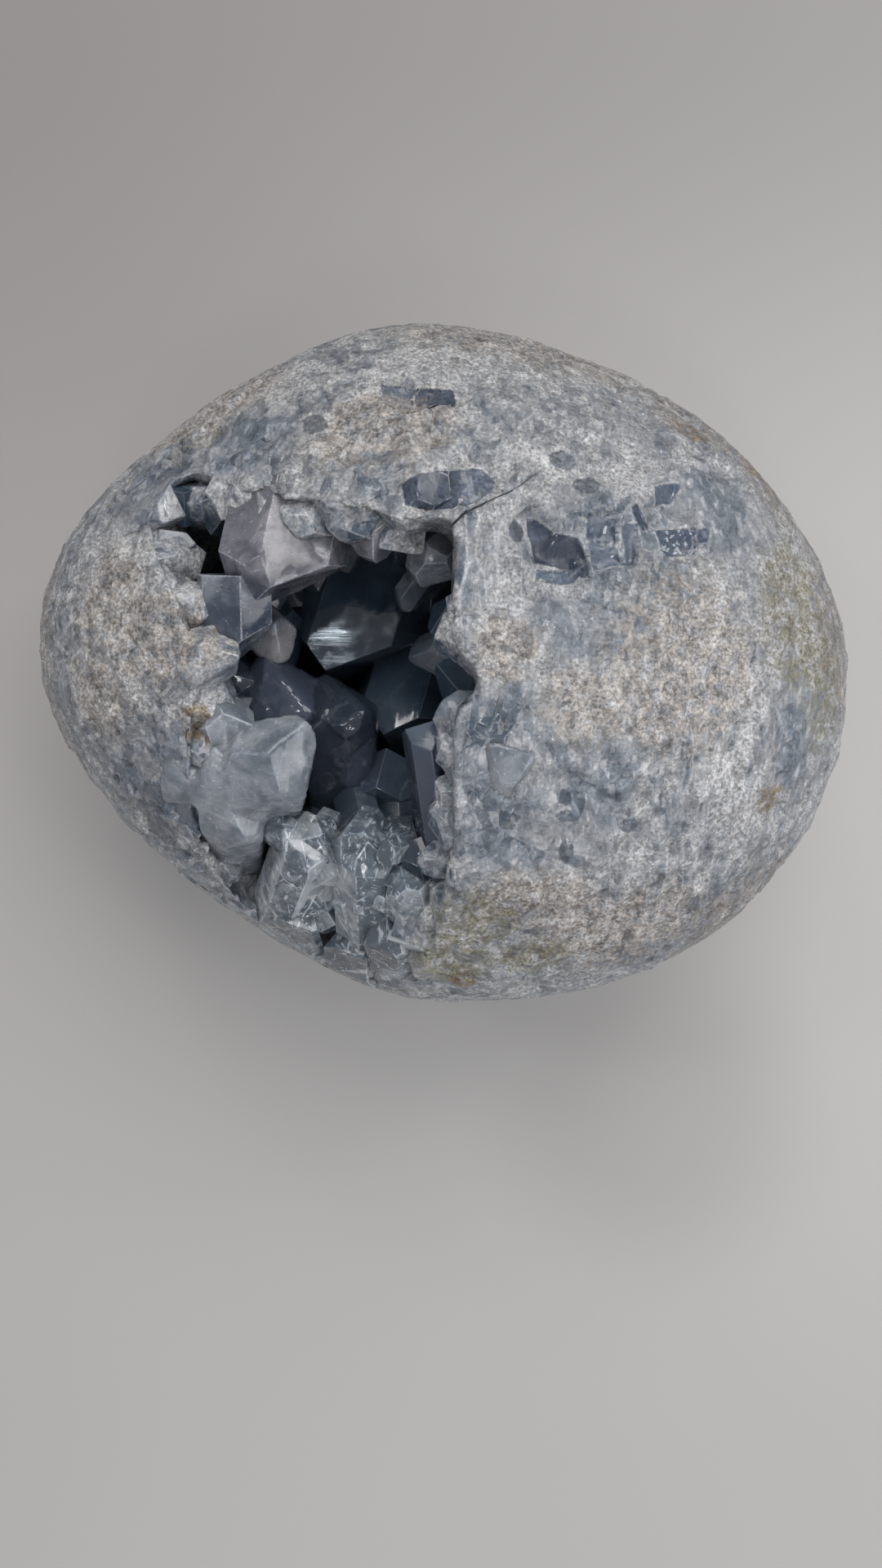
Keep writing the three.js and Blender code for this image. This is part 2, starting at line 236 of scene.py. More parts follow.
class Shader:
    """One material's node tree, built by short calls. A value given to a call may be a number or a socket."""

    def __init__(self, name):
        self.material = bpy.data.materials.new(name)
        self.material.use_nodes = True
        self.tree = self.material.node_tree
        self.tree.nodes.clear()
        self.output = self.tree.nodes.new("ShaderNodeOutputMaterial")
        here = self.node("ShaderNodeTexCoord").outputs["Object"]
        self.place = self.stretched(here, (1 / MM,) * 3)

    def feed(self, socket, value):
        if isinstance(value, bpy.types.NodeSocket):
            self.tree.links.new(value, socket)
        elif socket.type == "RGBA" and len(value) == 3:
            socket.default_value = (*value, 1.0)
        else:
            socket.default_value = value

    def node(self, kind, settings=None, **inputs):
        node = self.tree.nodes.new(kind)
        for name, value in (settings or {}).items():
            setattr(node, name, value)
        for name, value in inputs.items():
            self.feed(node.inputs[name.replace("_", " ")], value)
        return node

    def turned(self, vector, rotation, scale):
        return self.node("ShaderNodeMapping", Vector=vector, Rotation=rotation, Scale=scale).outputs[0]

    def stretched(self, vector, scale):
        return self.turned(vector, (0, 0, 0), scale)

    def attribute(self, name):
        return self.node("ShaderNodeAttribute", {"attribute_name": name}).outputs["Fac"]

    def noise(self, size, vector=None, detail=3.0, roughness=0.6):
        """Cloudy noise from 0 to 1, with features of that size in millimetres."""
        node = self.node(
            "ShaderNodeTexNoise",
            Vector=vector or self.place, Scale=1 / size, Detail=detail, Roughness=roughness,
        )
        return node.outputs["Fac"]

    def drifted(self, size, amount):
        """The place, pushed about by up to `amount` by noise of that size, both in millimetres."""
        push = self.node("ShaderNodeTexNoise", Vector=self.place, Scale=1 / size, Detail=2.0)
        centred = self.vector("SUBTRACT", push.outputs["Color"], (0.5, 0.5, 0.5))
        return self.vector("ADD", self.place, self.vector("SCALE", centred, scale=2 * amount))

    def vector(self, operation, a, b=(0, 0, 0), scale=1.0):
        node = self.node("ShaderNodeVectorMath", {"operation": operation})
        self.feed(node.inputs[0], a)
        if operation == "SCALE":
            self.feed(node.inputs["Scale"], scale)
        elif operation != "LENGTH":
            self.feed(node.inputs[1], b)
        return node.outputs["Value" if operation in ("LENGTH", "DOT_PRODUCT") else "Vector"]

    def math(self, operation, a, b=0.0):
        node = self.node("ShaderNodeMath", {"operation": operation})
        self.feed(node.inputs[0], a)
        self.feed(node.inputs[1], b)
        return node.outputs[0]

    def total(self, *terms):
        """The sum of terms, each a socket or a (socket, factor) pair."""
        result = 0.0
        for term in terms:
            value, factor = term if isinstance(term, tuple) else (term, 1.0)
            node = self.node("ShaderNodeMath", {"operation": "MULTIPLY_ADD"})
            self.feed(node.inputs[0], value)
            self.feed(node.inputs[1], factor)
            self.feed(node.inputs[2], result)
            result = node.outputs[0]
        return result

    def ramp(self, value, low, high, to_low=0.0, to_high=1.0):
        node = self.node(
            "ShaderNodeMapRange", {"interpolation_type": "SMOOTHSTEP"},
            Value=value, From_Min=low, From_Max=high, To_Min=to_low, To_Max=to_high,
        )
        return node.outputs[0]

    def stops(self, value, *stops):
        """A colour that runs through (position, colour) stops."""
        node = self.node("ShaderNodeValToRGB", Fac=value)
        elements = node.color_ramp.elements
        elements.remove(elements[1])
        for index, (position, tone) in enumerate(stops):
            element = elements.new(position) if index else elements[0]
            element.position = position
            element.color = (*tone, 1.0)
        return node.outputs[0]

    def blend(self, share, a, b, mode="MIX"):
        node = self.node("ShaderNodeMix", {"data_type": "RGBA", "blend_type": mode})
        self.feed(node.inputs[0], share)
        self.feed(node.inputs[6], a)
        self.feed(node.inputs[7], b)
        return node.outputs[2]

    def cells(self, size, vector=None):
        """Grains of that size in millimetres: (a random number for each, height of its tilted flat face)."""
        vector = vector or self.place
        node = self.node("ShaderNodeTexVoronoi", Vector=vector, Scale=1 / size)
        chance = self.node("ShaderNodeSeparateColor", Color=node.outputs["Color"]).outputs[0]
        tilt = self.vector("SUBTRACT", node.outputs["Color"], (0.5, 0.5, 0.5))
        inside = self.vector("SUBTRACT", vector, node.outputs["Position"])
        return chance, self.vector("DOT_PRODUCT", inside, tilt)

    def borders(self, size, width, vector=None):
        """1 on the borders between grains of that size, 0 beyond `width`, both in millimetres."""
        node = self.node(
            "ShaderNodeTexVoronoi", {"feature": "DISTANCE_TO_EDGE"},
            Vector=vector or self.place, Scale=1 / size,
        )
        return self.ramp(node.outputs["Distance"], 0.0, width / size, 1.0, 0.0)

    def inside(self, outline, vector):
        """How far the vector lies inside a plan outline, in millimetres. It is below 0 outside it."""
        nearest = None
        for inward, start in inner_sides(outline):
            away = self.total(self.vector("DOT_PRODUCT", vector, inward), -start)
            nearest = away if nearest is None else self.math("MINIMUM", nearest, away)
        return nearest

    def patch(self, centre, reach):
        """1 at a place in the frame, fading to 0 at `reach` millimetres from it."""
        away = self.vector("LENGTH", self.vector("SUBTRACT", self.place, centre))
        return self.ramp(away, 0.3 * reach, reach, 1.0, 0.0)

    def bump(self, height, strength, distance, normal=None):
        node = self.node("ShaderNodeBump", Height=height, Strength=strength, Distance=distance * MM)
        if normal:
            self.feed(node.inputs["Normal"], normal)
        return node.outputs[0]

    def finish(self, volume=None, **inputs):
        surface = self.node("ShaderNodeBsdfPrincipled", **inputs)
        self.tree.links.new(surface.outputs[0], self.output.inputs["Surface"])
        if volume:
            tint, density = volume
            fog = self.node("ShaderNodeVolumeAbsorption", Color=tint, Density=density)
            self.tree.links.new(fog.outputs[0], self.output.inputs["Volume"])
        return self.material


# ---- the stone ---------------------------------------------------------------------------------------------

HOLLOW_CENTRE = (-13, -6, 48)
HOLLOW_RADII = (22, 25, 28)
CELESTITE_IOR = 1.62

# Sizes of the stone's relief, in millimetres
SKIN_TOP = 52  # height where the natural skin starts
SKIN_FADE = 14  # how far below that it is at its roughest
GRAIN_SIZE = 1.1
LUMP_SIZE = 7
PIT_SIZE = 1.9
LARGE_PIT_SIZE = 5.0
LARGE_PIT_SHARE = 0.06  # of the grains of that size
LARGE_PIT_DEPTH = 1.6  # times the small pits' depth
FACET_SIZE = 5.0
SMALL_FACET_SIZE = 2.2
SMALL_FACET_HEIGHT = 0.45  # times the large facets' height
FRACTURE_DROP = 0.35  # how far the fracture lies below the skin, as a part of its height
COLUMN_WIDTH = 1.7
COLUMN_LENGTH = 9
DARK_CALM = 0.6  # how much flatter the dark spots are
FOOT_BAND = 0.5  # up to this height the foot stays as it is

# Where each kind of patch lies on the stone, in frame millimetres: (centre, radii).
PATCHES = {
    "sandy": [
        ((-36.5, 0, 76), (9, 6, 9)),
        ((-43, 5, 70), (7, 7, 7)),
        ((-44, -6, 64), (7, 7, 9)),
        ((-9, 27, 78), (10, 6, 7)),
        ((31, -3, 79), (11, 12, 9)),
        ((18, -9, 82), (6, 5, 6)),
        ((8, -2, 84), (4, 4, 4)),
        ((24, -38, 65), (12, 8, 8)),
        ((12, -34, 73), (9, 4, 8)),
        ((-32, 34, 60), (12, 9, 8)),
        ((10, 42, 58), (20, 8, 10)),
        ((-54, 0, 46), (8, 18, 12)),
    ],
    "olive": [
        ((47.0, 4, 68), (6.0, 10, 10)),
        ((51.5, -4, 60), (5, 9, 9)),
        ((4, -37, 71), (6, 4.5, 6)),
        ((1, -43, 64), (6, 4, 6)),
        ((12, -42, 64), (5, 3, 5)),
    ],
    "rusty": [
        ((-32.2, -11, 74), (2.2, 3, 4)),
        ((-30.5, -12.5, 74), (1.6, 1.6, 3)),
        ((44.5, -20.7, 66.4), (2.6, 2, 3)),
        ((34, 30, 65), (3.5, 2, 3)),
        ((44, 25, 60), (3, 3, 4)),
        ((2.6, -46, 60), (2, 2, 3)),
    ],
    "earthy": [
        ((36, 32, 60), (10, 6, 8)),
        ((46, 24, 58), (6, 9, 10)),
        ((55, 6, 54), (6, 16, 12)),
        ((40, -34, 50), (14, 10, 12)),
    ],
    "chalky": [
        ((-2, 17, 81), (9, 3.5, 5)),
        ((12, 20, 80), (9, 3.5, 5)),
        ((24, 20, 77), (4, 3.5, 4)),
        ((7, -2, 84), (7, 4, 4)),
        ((39, -14, 73), (6, 10, 8)),
        ((13.5, -31, 75), (7, 5, 6)),
        ((10, 38, 70), (18, 5, 8)),
        ((-45, 10, 69), (9, 9, 9)),
        ((-42, -6, 70), (9, 8, 9)),
        ((-4, 33, 74), (9, 5, 6)),
        ((46, 6, 66), (8, 16, 12)),
        ((-20, 34, 66), (10, 5, 7)),
    ],
    "clear": [
        ((8.5, -15, 82), (9, 8, 8)),
        ((10, -25, 78), (8, 6, 8)),
        ((17, -24, 78), (5, 8, 7)),
        ((18, 1, 83), (9, 4, 6)),
        ((-26, 27, 72), (9, 6, 8)),
        ((-38, 20, 67), (8, 8, 8)),
        ((-38, -18, 68), (9, 8, 10)),
        ((46.5, -11.5, 68.8), (5, 8, 9)),
        ((36, 17, 73), (9, 6, 8)),
        ((-27, -36, 56), (12, 7, 12)),
        ((-8, 21, 80), (5, 4, 5)),
        ((20, -17, 79), (5, 5, 6)),
        ((4.5, 8, 83), (3, 4, 5)),
        ((22, 13, 80), (14, 6, 6)),
    ],
    "dark": [
        ((-16.7, 28.2, 75.4), (1.6, 1.6, 2.5)),
        ((23.9, -24, 76.4), (1.2, 1.0, 1.5)),
        ((15.6, -20.5, 78), (1.5, 1.0, 3)),
        ((17.4, -21.2, 78), (0.9, 1.7, 3)),
        ((16.0, -22.9, 78), (1.7, 0.8, 3)),
        ((15.9, -27.4, 76), (1.0, 1.6, 3)),
        ((17.2, -28.7, 76), (1.5, 0.8, 3)),
        ((9.5, 13, 82), (1.0, 1.6, 2)),
        ((-36, 24.5, 68), (2.6, 2.2, 4)),
        ((-39, -19.5, 64), (2.4, 2.6, 4)),
        ((15.5, 22.8, 78.3), (1.8, 1.4, 2)),
        ((18.4, 19.4, 79), (1.8, 1.2, 2)),
        ((34.4, -34.9, 64), (1.1, 1.3, 1.6)),
        ((-35, 20, 68), (3, 3.5, 3)),
        ((-34.5, -22.5, 68), (2.4, 2.2, 3)),
        ((-39, -24, 60), (3.2, 3.6, 5)),
    ],
    "broken": [
        ((-12.5, -5, 48), (28, 32, 42)),
        ((20, 13, 80), (17, 9, 10)),
        ((0, 22, 80), (16, 7, 8)),
        ((-34, 22, 68), (12, 10, 10)),
        ((9, -18, 80), (10, 14, 8)),
        ((-34, -24, 62), (13, 12, 12)),
    ],
    "fibrous": [
        ((5, 6, 82), (6, 13, 9)),
        ((37, -14, 74), (9, 13, 9)),
        ((26, -34, 68), (12, 10, 9)),
    ],
    "hollow": [((-12.5, -5, 48), (25, 28, 31))],
}


def cover(point, centre, radii):
    """How strongly a patch covers a point: 1 well inside, a half at its edge, 0 outside."""
    away = math.hypot(*[(p - c) / r for p, c, r in zip(point, centre, radii)])
    return min(1.0, max(0.0, 1.5 - away))


def facet(point, size):
    """Height, at a place in millimetres, of the tilted flat face of the grain it lies in."""
    spot = point / size
    centre = noise.voronoi(spot)[1][0]
    tilt = noise.cell_vector(centre * 7.31) - Vector((0.5, 0.5, 0.5))
    return (spot - centre).dot(tilt)


def pit(point, size, share):
    """1 in the middle of a pit, 0 outside. Pits take that share of the grains."""
    spot = point / size
    distances, centres = noise.voronoi(spot)[:2]
    if noise.cell(centres[0] * 5.17) > share:
        return 0.0
    return max(0.0, 1.0 - (distances[0] / 0.45) ** 2)


def lay_patches(obj):
    """Stores on each of obj's vertices how strongly each kind of patch covers it."""
    tree = kdtree.KDTree(len(obj.data.vertices))
    for vertex in obj.data.vertices:
        tree.insert(vertex.co / MM, vertex.index)
    tree.balance()
    for name, patches in PATCHES.items():
        values = [0.0] * len(obj.data.vertices)
        for centre, radii in patches:
            for point, index, _ in tree.find_range(centre, 1.5 * max(radii)):
                values[index] = max(values[index], cover(point, centre, radii))
        obj.data.attributes.new(name, "FLOAT", "POINT").data.foreach_set("value", values)


def weather(stone, settings):
    """Moves the stone's skin into grain, lumps, pits and, near the hollow, flat-faced fracture."""
    mesh = stone.data
    covers = {
        name: [value.value for value in mesh.attributes[name].data]
        for name in ("broken", "fibrous", "dark", "sandy")
    }
    moved = []
    for index, vertex in enumerate(mesh.vertices):
        point = vertex.co / MM
        broken, fibrous = covers["broken"][index], covers["fibrous"][index]
        dark, sandy = covers["dark"][index], covers["sandy"][index]
        skin = min(1.0, max(0.0, (SKIN_TOP - point.z) / SKIN_FADE))
        pitted = 0.05 + 0.06 * skin + 0.08 * sandy
        push = settings.grain_height * noise.noise(point / GRAIN_SIZE) * (1 + sandy)
        push += settings.lump_height * (1 + 1.2 * skin) * noise.fractal(point / LUMP_SIZE, 1.0, 2.0, 3)
        push -= settings.pit_depth * pit(point, PIT_SIZE, pitted)
        push -= LARGE_PIT_DEPTH * settings.pit_depth * pit(point, LARGE_PIT_SIZE, LARGE_PIT_SHARE)
        if broken:
            facets = facet(point, FACET_SIZE) + SMALL_FACET_HEIGHT * facet(point, SMALL_FACET_SIZE)
            push += broken * settings.fracture_height * (facets - FRACTURE_DROP)
        if fibrous:
            column = Vector((point.x / COLUMN_WIDTH, point.y / COLUMN_LENGTH, point.z / COLUMN_LENGTH))
            push += fibrous * settings.fibre_height * noise.noise(column)
        if dark:
            push *= 1 - DARK_CALM * dark
        settled = vertex.co.z - GROUND < FOOT_BAND * MM
        moved.append(vertex.co + vertex.normal * (0.0 if settled else push))
    for vertex, co in zip(mesh.vertices, moved):
        vertex.co = co
        vertex.co.z = max(co.z, GROUND)


# The crack runs through these places, in millimetres from the stone's centre.
CRACK = [(-0.5, 11.5), (2.2, 14.2), (4.6, 15.6), (8.0, 17.2), (12.4, 20.6)]
CRACK_DEPTH = 4.0
CRACK_TAPER = 0.2  # how much narrower each blade is than the one before
BLADE_HEIGHTS = (84, 82)  # of each blade's start and end


def split_crack(stone, settings):
    """Cuts the crack as a chain of thin blades."""
    blades = []
    for index, (start, end) in enumerate(zip(CRACK, CRACK[1:])):
        start, end = place((*start, BLADE_HEIGHTS[0])), place((*end, BLADE_HEIGHTS[1]))
        run = end - start
        width = settings.crack_width * (1.0 - CRACK_TAPER * index)
        bpy.ops.object.select_all(action="DESELECT")
        bpy.ops.mesh.primitive_cube_add(
            size=1, location=(start + end) / 2, rotation=(0, 0, math.atan2(run.y, run.x)),
            scale=(run.length + width, width, 2 * CRACK_DEPTH * MM),
        )
        blade = bpy.context.object
        settle(blade)
        blades.append(blade)
    carve(stone, fuse(blades, "crack"), "DIFFERENCE")


# Clear crystals broken off level with the stone's surface. Each has its darkness and the plan of its broken
# face, clockwise, in frame millimetres.
WINDOWS = {
    "great": (1.0, [(11.1, 11.9), (14.3, 13.0), (17.4, 12.4), (18.5, 9.0), (16.4, 8.0), (11.5, 9.0)]),
    "great_tail": (0.9, [(16.4, 8.2), (18.5, 9.2), (18.6, 7.2), (17.6, 6.8)]),
    "great_shoulder": (0.8, [(10.5, 15.8), (14.3, 13.0), (11.8, 8.9), (10.6, 13.1)]),
    "teal": (0.62, [(18.2, 14.9), (22.2, 15.1), (22.1, 11.3), (18.1, 12.2)]),
    "teal_low": (0.42, [(18.3, 11.9), (22.1, 11.0), (23.0, 8.9), (18.9, 8.0)]),
    "pale": (0.3, [(22.5, 14.6), (25.2, 14.3), (24.4, 9.0), (23.3, 8.9)]),
    "top_left": (0.8, [(18.2, 15.9), (20.2, 16.0), (20.2, 15.0), (18.4, 15.0)]),
    "upper": (0.85, [(24.0, 17.5), (25.1, 17.5), (26.8, 13.7), (25.5, 13.6), (24.2, 15.7)]),
    "spark": (0.65, [(27.1, 13.9), (33.0, 14.6), (32.8, 10.7), (28.4, 10.2)]),
    "end": (0.5, [(33.1, 14.6), (35.2, 15.0), (34.7, 12.7), (33.1, 12.3)]),
    "corner": (0.45, [(27.5, 20.2), (31.7, 20.9), (29.8, 17.7), (27.3, 17.0)]),
    "under": (0.38, [(11.7, 8.2), (16.7, 7.7), (16.8, 6.1), (11.4, 6.2)]),
    "eave": (0.85, [(-5.3, 19.2), (-3.1, 20.3), (2.4, 21.2), (2.1, 15.7), (-2.5, 15.6), (-4.8, 16.2)]),
    "eave_end": (0.5, [(2.5, 21.2), (4.8, 21.4), (7.2, 19.0), (4.9, 16.9), (2.5, 15.9)]),
    "back": (0.9, [(-4.0, 33.5), (1.5, 33.2), (2.0, 30.2), (-3.5, 29.8)]),
    "back_end": (0.5, [(-8.5, 33.8), (-4.3, 33.5), (-3.8, 29.8), (-7.6, 31.0)]),
}
WINDOW_DEPTH = 0.6  # of a broken face below the stone around it
WINDOW_LEAN = Vector((-0.03, -0.2, 0))  # its face leans to the front
WINDOW_TILT = 0.06  # how far it leans from that, by chance
WINDOW_MARGIN = 1.5  # how far outside its outline a broken face is still told from the stone
WINDOW_RELIEF = 5.0  # how far below its highest place the stone's outside still belongs to it
DOME_FOOT = 50  # height above which the broken faces lie
DOME_RISE = 0.4  # how much the stone's outside faces up there, at least


def inner_sides(outline):
    """Each side of a clockwise plan outline, as the way in from it and how far in it starts."""
    for (x, y), (next_x, next_y) in zip(outline, outline[1:] + outline[:1]):
        run = Vector((next_x - x, next_y - y, 0)).normalized()
        inward = Vector((run.y, -run.x, 0))
        yield inward, inward.dot(Vector((x, y, 0)))


def press_windows(stone):
    """Presses the broken face of each clear crystal flat, a little below the stone around it.

    Stores on each vertex how far inside the nearest broken face it lies, and how dark that face is.
    """
    up = Vector((0, 0, 1))
    vertices = stone.data.vertices
    above = [
        (vertex.index, vertex.co / MM, vertex.normal.copy())
        for vertex in vertices if vertex.co.z > DOME_FOOT * MM and vertex.normal.z > DOME_RISE
    ]
    inside = [-WINDOW_MARGIN] * len(vertices)
    tones = [0.0] * len(vertices)
    for name, (darkness, outline) in WINDOWS.items():
        sides = list(inner_sides(outline))
        lowest, highest = min(x for x, _ in outline), max(x for x, _ in outline)
        chance = random.Random(name)
        found = []
        for index, point, normal in above:
            if lowest - WINDOW_MARGIN < point.x < highest + WINDOW_MARGIN:
                away = min(inward.dot(point) - start for inward, start in sides)
                if away > inside[index]:
                    inside[index], tones[index] = away, darkness
                if away > 0:
                    found.append((index, point, normal))
        top = max((point.z for _, point, _ in found), default=0.0)
        found = [entry for entry in found if entry[1].z > top - WINDOW_RELIEF]
        if not found:
            continue
        middle = sum((point for _, point, _ in found), Vector()) / len(found)
        facing = sum((normal for _, _, normal in found), Vector()).normalized()
        tilt = Vector([chance.uniform(-WINDOW_TILT, WINDOW_TILT) for _ in range(3)])
        facing = (facing + WINDOW_LEAN + tilt).normalized()
        for index, point, _ in found:
            drop = (point - middle).dot(facing) / facing.dot(up)
            vertices[index].co = (point - up * (drop + WINDOW_DEPTH)) * MM
    stone.data.attributes.new("window", "FLOAT", "POINT").data.foreach_set("value", inside)
    stone.data.attributes.new("darkness", "FLOAT", "POINT").data.foreach_set("value", tones)


def broken_faces(s, clarity, haze, rough_edge, ragged):
    """The broken faces of clear crystals: (1 inside them, 1 on their edges, their colour).

    The stone's own are read from its vertices. The rim, which has some clarity, has only the one at the eave.
    """
    if clarity:
        darkness, outline = WINDOWS["eave"]
        inward = s.inside(outline, s.place)
    else:
        inward, darkness = s.attribute("window"), s.attribute("darkness")
    inward = s.total(inward, (ragged, 0.8))
    window = s.ramp(inward, 0.0, 0.25)
    window_edge = s.ramp(s.math("ABSOLUTE", inward), 0.28, 0.08)
    depth = s.total(darkness, (s.total(haze, -0.5), 0.55), (s.total(rough_edge, -0.5), 0.25))
    window_tone = s.stops(
        depth,
        (0.1, (0.19, 0.22, 0.27)), (0.4, (0.10, 0.132, 0.19)), (0.65, (0.052, 0.08, 0.13)),
        (0.95, (0.015, 0.03, 0.062)),
    )
    return window, window_edge, window_tone


def stone_material(settings, name="celestite_stone", clarity=0.0, gloss=0.0):
    """Fine-grained celestite: chalky white and clear blue-grey grains, with sandy and rusty stains."""
    s = Shader(name)
    shards = s.turned(s.drifted(2.0, 0.15), (0.5, 0.3, 0.7), (1.0, 0.55, 1.0))
    flakes = s.turned(s.place, (0.2, 0.9, -0.6), (1.0, 0.4, 1.0))
    blocks = s.turned(s.drifted(3.0, 0.3), (0.2, 0.4, -0.25), (1.0, 0.6, 0.8))
    big, big_face = s.cells(4.2, blocks)
    mid, mid_face = s.cells(1.7, shards)
    columns = s.stretched(s.drifted(2.0, 0.25), (1.0, 0.22, 0.22))
    column, column_face = s.cells(2.4, columns)
    fine, fine_face = s.cells(0.75)
    flake, flake_face = s.cells(0.8, flakes)
    cloud = s.noise(9.0, detail=5.0, roughness=0.65)
    haze = s.noise(2.6, detail=4.0, roughness=0.65)
    powder = s.noise(0.45, detail=3.0, roughness=0.7)
    rough_edge = s.noise(1.6, detail=5.0, roughness=0.75)
    ragged = s.total(rough_edge, -0.5)

    def patch(name, soft=0.12):
        edge = s.total(s.attribute(name), (ragged, 0.9))
        return s.ramp(edge, 0.5 - soft, 0.5 + soft)

    broken, sandy = s.attribute("broken"), s.attribute("sandy")
    milky = patch("clear", 0.35)
    fibrous = patch("fibrous", 0.3)
    grain = s.total(1.0, (milky, -0.75))
    clear = s.total(
        0.15 + clarity,
        (s.ramp(cloud, 0.3, 0.7), 0.36),
        (s.total(haze, -0.5), 0.95),
        (s.total(big, -0.5), s.total(0.22, (broken, 0.44))),
        (s.total(mid, -0.5), s.math("MULTIPLY", grain, 0.42)),
        (s.total(fine, -0.5), s.math("MULTIPLY", grain, 0.22)),
        (s.total(column, -0.5), s.math("MULTIPLY", fibrous, 0.6)),
        (s.total(s.attribute("tone"), -0.5 if clarity else 0.0), 0.4),
        (milky, 0.32),
        (patch("chalky", 0.25), -0.26),
    )
    tone = s.stops(
        clear,
        (0.0, tuple(settings.white)), (0.30, tuple(settings.pale)), (0.62, tuple(settings.blue)),
        (1.0, tuple(settings.deep)),
    )

    # The broken faces of clear crystals: a darker body, painted glints in one, and a thin white edge in
    # places.
    window, window_edge, window_tone = broken_faces(s, clarity, haze, rough_edge, ragged)
    tone = s.blend(s.math("MULTIPLY", window, 0.95), tone, window_tone)
    # Painted glints: pale specks in one dark broken face, standing for light caught by tiny facets
    painted_glints = s.math("MULTIPLY", s.patch((30.5, 12.4, 77), 5.0), s.ramp(s.noise(0.9, detail=5.0), 0.53, 0.60))
    tone = s.blend(s.math("MULTIPLY", painted_glints, 0.8), tone, (0.52, 0.56, 0.60))

    # White lines along the cracks between grains and columns, and white flakes.
    lines = s.math("MAXIMUM", s.borders(4.2, 0.16, blocks), s.borders(1.7, 0.10, shards))
    faded = s.math("MULTIPLY", s.ramp(haze, 0.46, 0.60), s.ramp(rough_edge, 0.40, 0.56))
    lines = s.math("MULTIPLY", s.math("MULTIPLY", lines, faded), s.total(0.25, (broken, 0.35)))
    column_lines = s.math("MULTIPLY", s.math("MULTIPLY", s.borders(2.4, 0.22, columns), fibrous), 0.7)
    fibre = s.noise(0.7, s.stretched(s.drifted(5.0, 0.8), (1.0, 0.12, 0.12)), detail=4.0, roughness=0.7)
    fibres = s.math("MULTIPLY", fibrous, 0.5)
    plain = s.total(1.0, (window, -0.9))
    whiten = s.math("MAXIMUM", lines, s.math("MULTIPLY", s.ramp(flake, 0.80, 0.84), 0.45))
    whiten = s.math("MAXIMUM", whiten, s.math("MULTIPLY", s.ramp(fibre, 0.50, 0.66), fibres))
    whiten = s.math("MULTIPLY", s.math("MAXIMUM", whiten, column_lines), plain)
    window_edge = s.math("MULTIPLY", window_edge, s.ramp(rough_edge, 0.45, 0.6, 0.0, 0.6))
    whiten = s.math("MAXIMUM", whiten, window_edge)
    worn_edges = s.math("MULTIPLY", s.attribute("worn"), s.ramp(rough_edge, 0.4, 0.6, 0.0, 0.5))
    whiten = s.math("MAXIMUM", whiten, worn_edges)
    tone = s.blend(whiten, tone, (0.64, 0.64, 0.655))

    # Stains, each with its colour, its share where it is strongest and the softness of its border.
    speckle = s.ramp(rough_edge, 0.36, 0.60)
    stains = (
        ("sandy", tuple(settings.sandy), 0.7, 0.35),
        ("olive", (0.25, 0.23, 0.135), 0.75, 0.3),
        ("rusty", (0.22, 0.145, 0.055), 0.85, 0.2),
        ("earthy", (0.25, 0.21, 0.175), 0.7, 0.3),
    )
    for stained, stain, most, soft in stains:
        share = s.math("MULTIPLY", s.math("MULTIPLY", patch(stained, soft), speckle), most)
        tone = s.blend(share, tone, stain)
    dark = patch("dark", 0.08)
    dark_tone = s.stops(mid, (0.0, (0.05, 0.07, 0.10)), (1.0, (0.17, 0.2, 0.24)))
    tone = s.blend(s.math("MULTIPLY", dark, 0.8), tone, dark_tone)

    # Powdery grain, broad light and dark, and soot in the grain.
    grainy = s.math("MULTIPLY", s.math("MAXIMUM", sandy, s.ramp(clear, 0.6, 0.1)), grain)
    tone = s.blend(s.total(0.35, (grainy, 0.6)), tone, s.ramp(powder, 0.3, 0.7, 0.42, 1.5), "MULTIPLY")
    tone = s.blend(plain, tone, s.ramp(haze, 0.35, 0.65, 1.12, 0.84), "MULTIPLY")
    soot = s.ramp(s.noise(1.2, detail=5.0, roughness=0.75), 0.52, 0.59)
    soot = s.math("MULTIPLY", soot, s.ramp(haze, 0.42, 0.54))
    soot = s.math("MULTIPLY", soot, s.total(0.22, (sandy, 0.7)))
    tone = s.blend(s.math("MULTIPLY", soot, plain), tone, (0.15, 0.135, 0.125))

    # Painted shade: a little darker towards the back, and dark down in the hollow.
    _, y, z = s.node("ShaderNodeSeparateXYZ", Vector=s.place).outputs
    tone = s.blend(1.0, tone, s.ramp(y, -20.0, 45.0, 1.0, 0.88), "MULTIPLY")
    # Painted shade that deepens down the hollow's wall
    inside = s.math("MULTIPLY", patch("hollow", 0.05), s.ramp(z, 64.0, 81.0, 1.0, 0.15))
    tone = s.blend(s.math("MULTIPLY", inside, 0.92), tone, (0.07, 0.095, 0.13))

    # Clear grains and single glinting ones are glossier, and the broken faces are smooth.
    glint = s.math("MAXIMUM", s.ramp(fine, 0.88, 0.90), s.ramp(flake, 0.80, 0.84))
    rough = s.total(s.ramp(clear, 0.1, 0.8, 0.60 - gloss, 0.36 - gloss), (dark, -0.15), (milky, -0.1))
    rough = s.math("MULTIPLY", rough, s.total(1.0, (glint, -0.7)))
    grain = s.math("MULTIPLY", grain, plain)
    normal = s.bump(s.math("MULTIPLY", mid_face, plain), 0.6 - gloss, 1.0)
    normal = s.bump(s.math("MULTIPLY", column_face, fibrous), 0.5, 1.0, normal)
    normal = s.bump(s.math("MULTIPLY", fine_face, grain), 0.7 - 2 * gloss, 1.0, normal)
    normal = s.bump(s.math("MULTIPLY", flake_face, plain), 0.25, 1.0, normal)
    normal = s.bump(s.math("MULTIPLY", powder, grain), 0.3 - gloss, 0.25, normal)
    return s.finish(
        Base_Color=tone, Roughness=rough, Normal=normal, IOR=CELESTITE_IOR, Specular_IOR_Level=0.5,
        Subsurface_Weight=s.total(0.15, (milky, 0.6)), Subsurface_Radius=(1.0, 1.1, 1.3),
        Subsurface_Scale=0.8 * MM,
    )


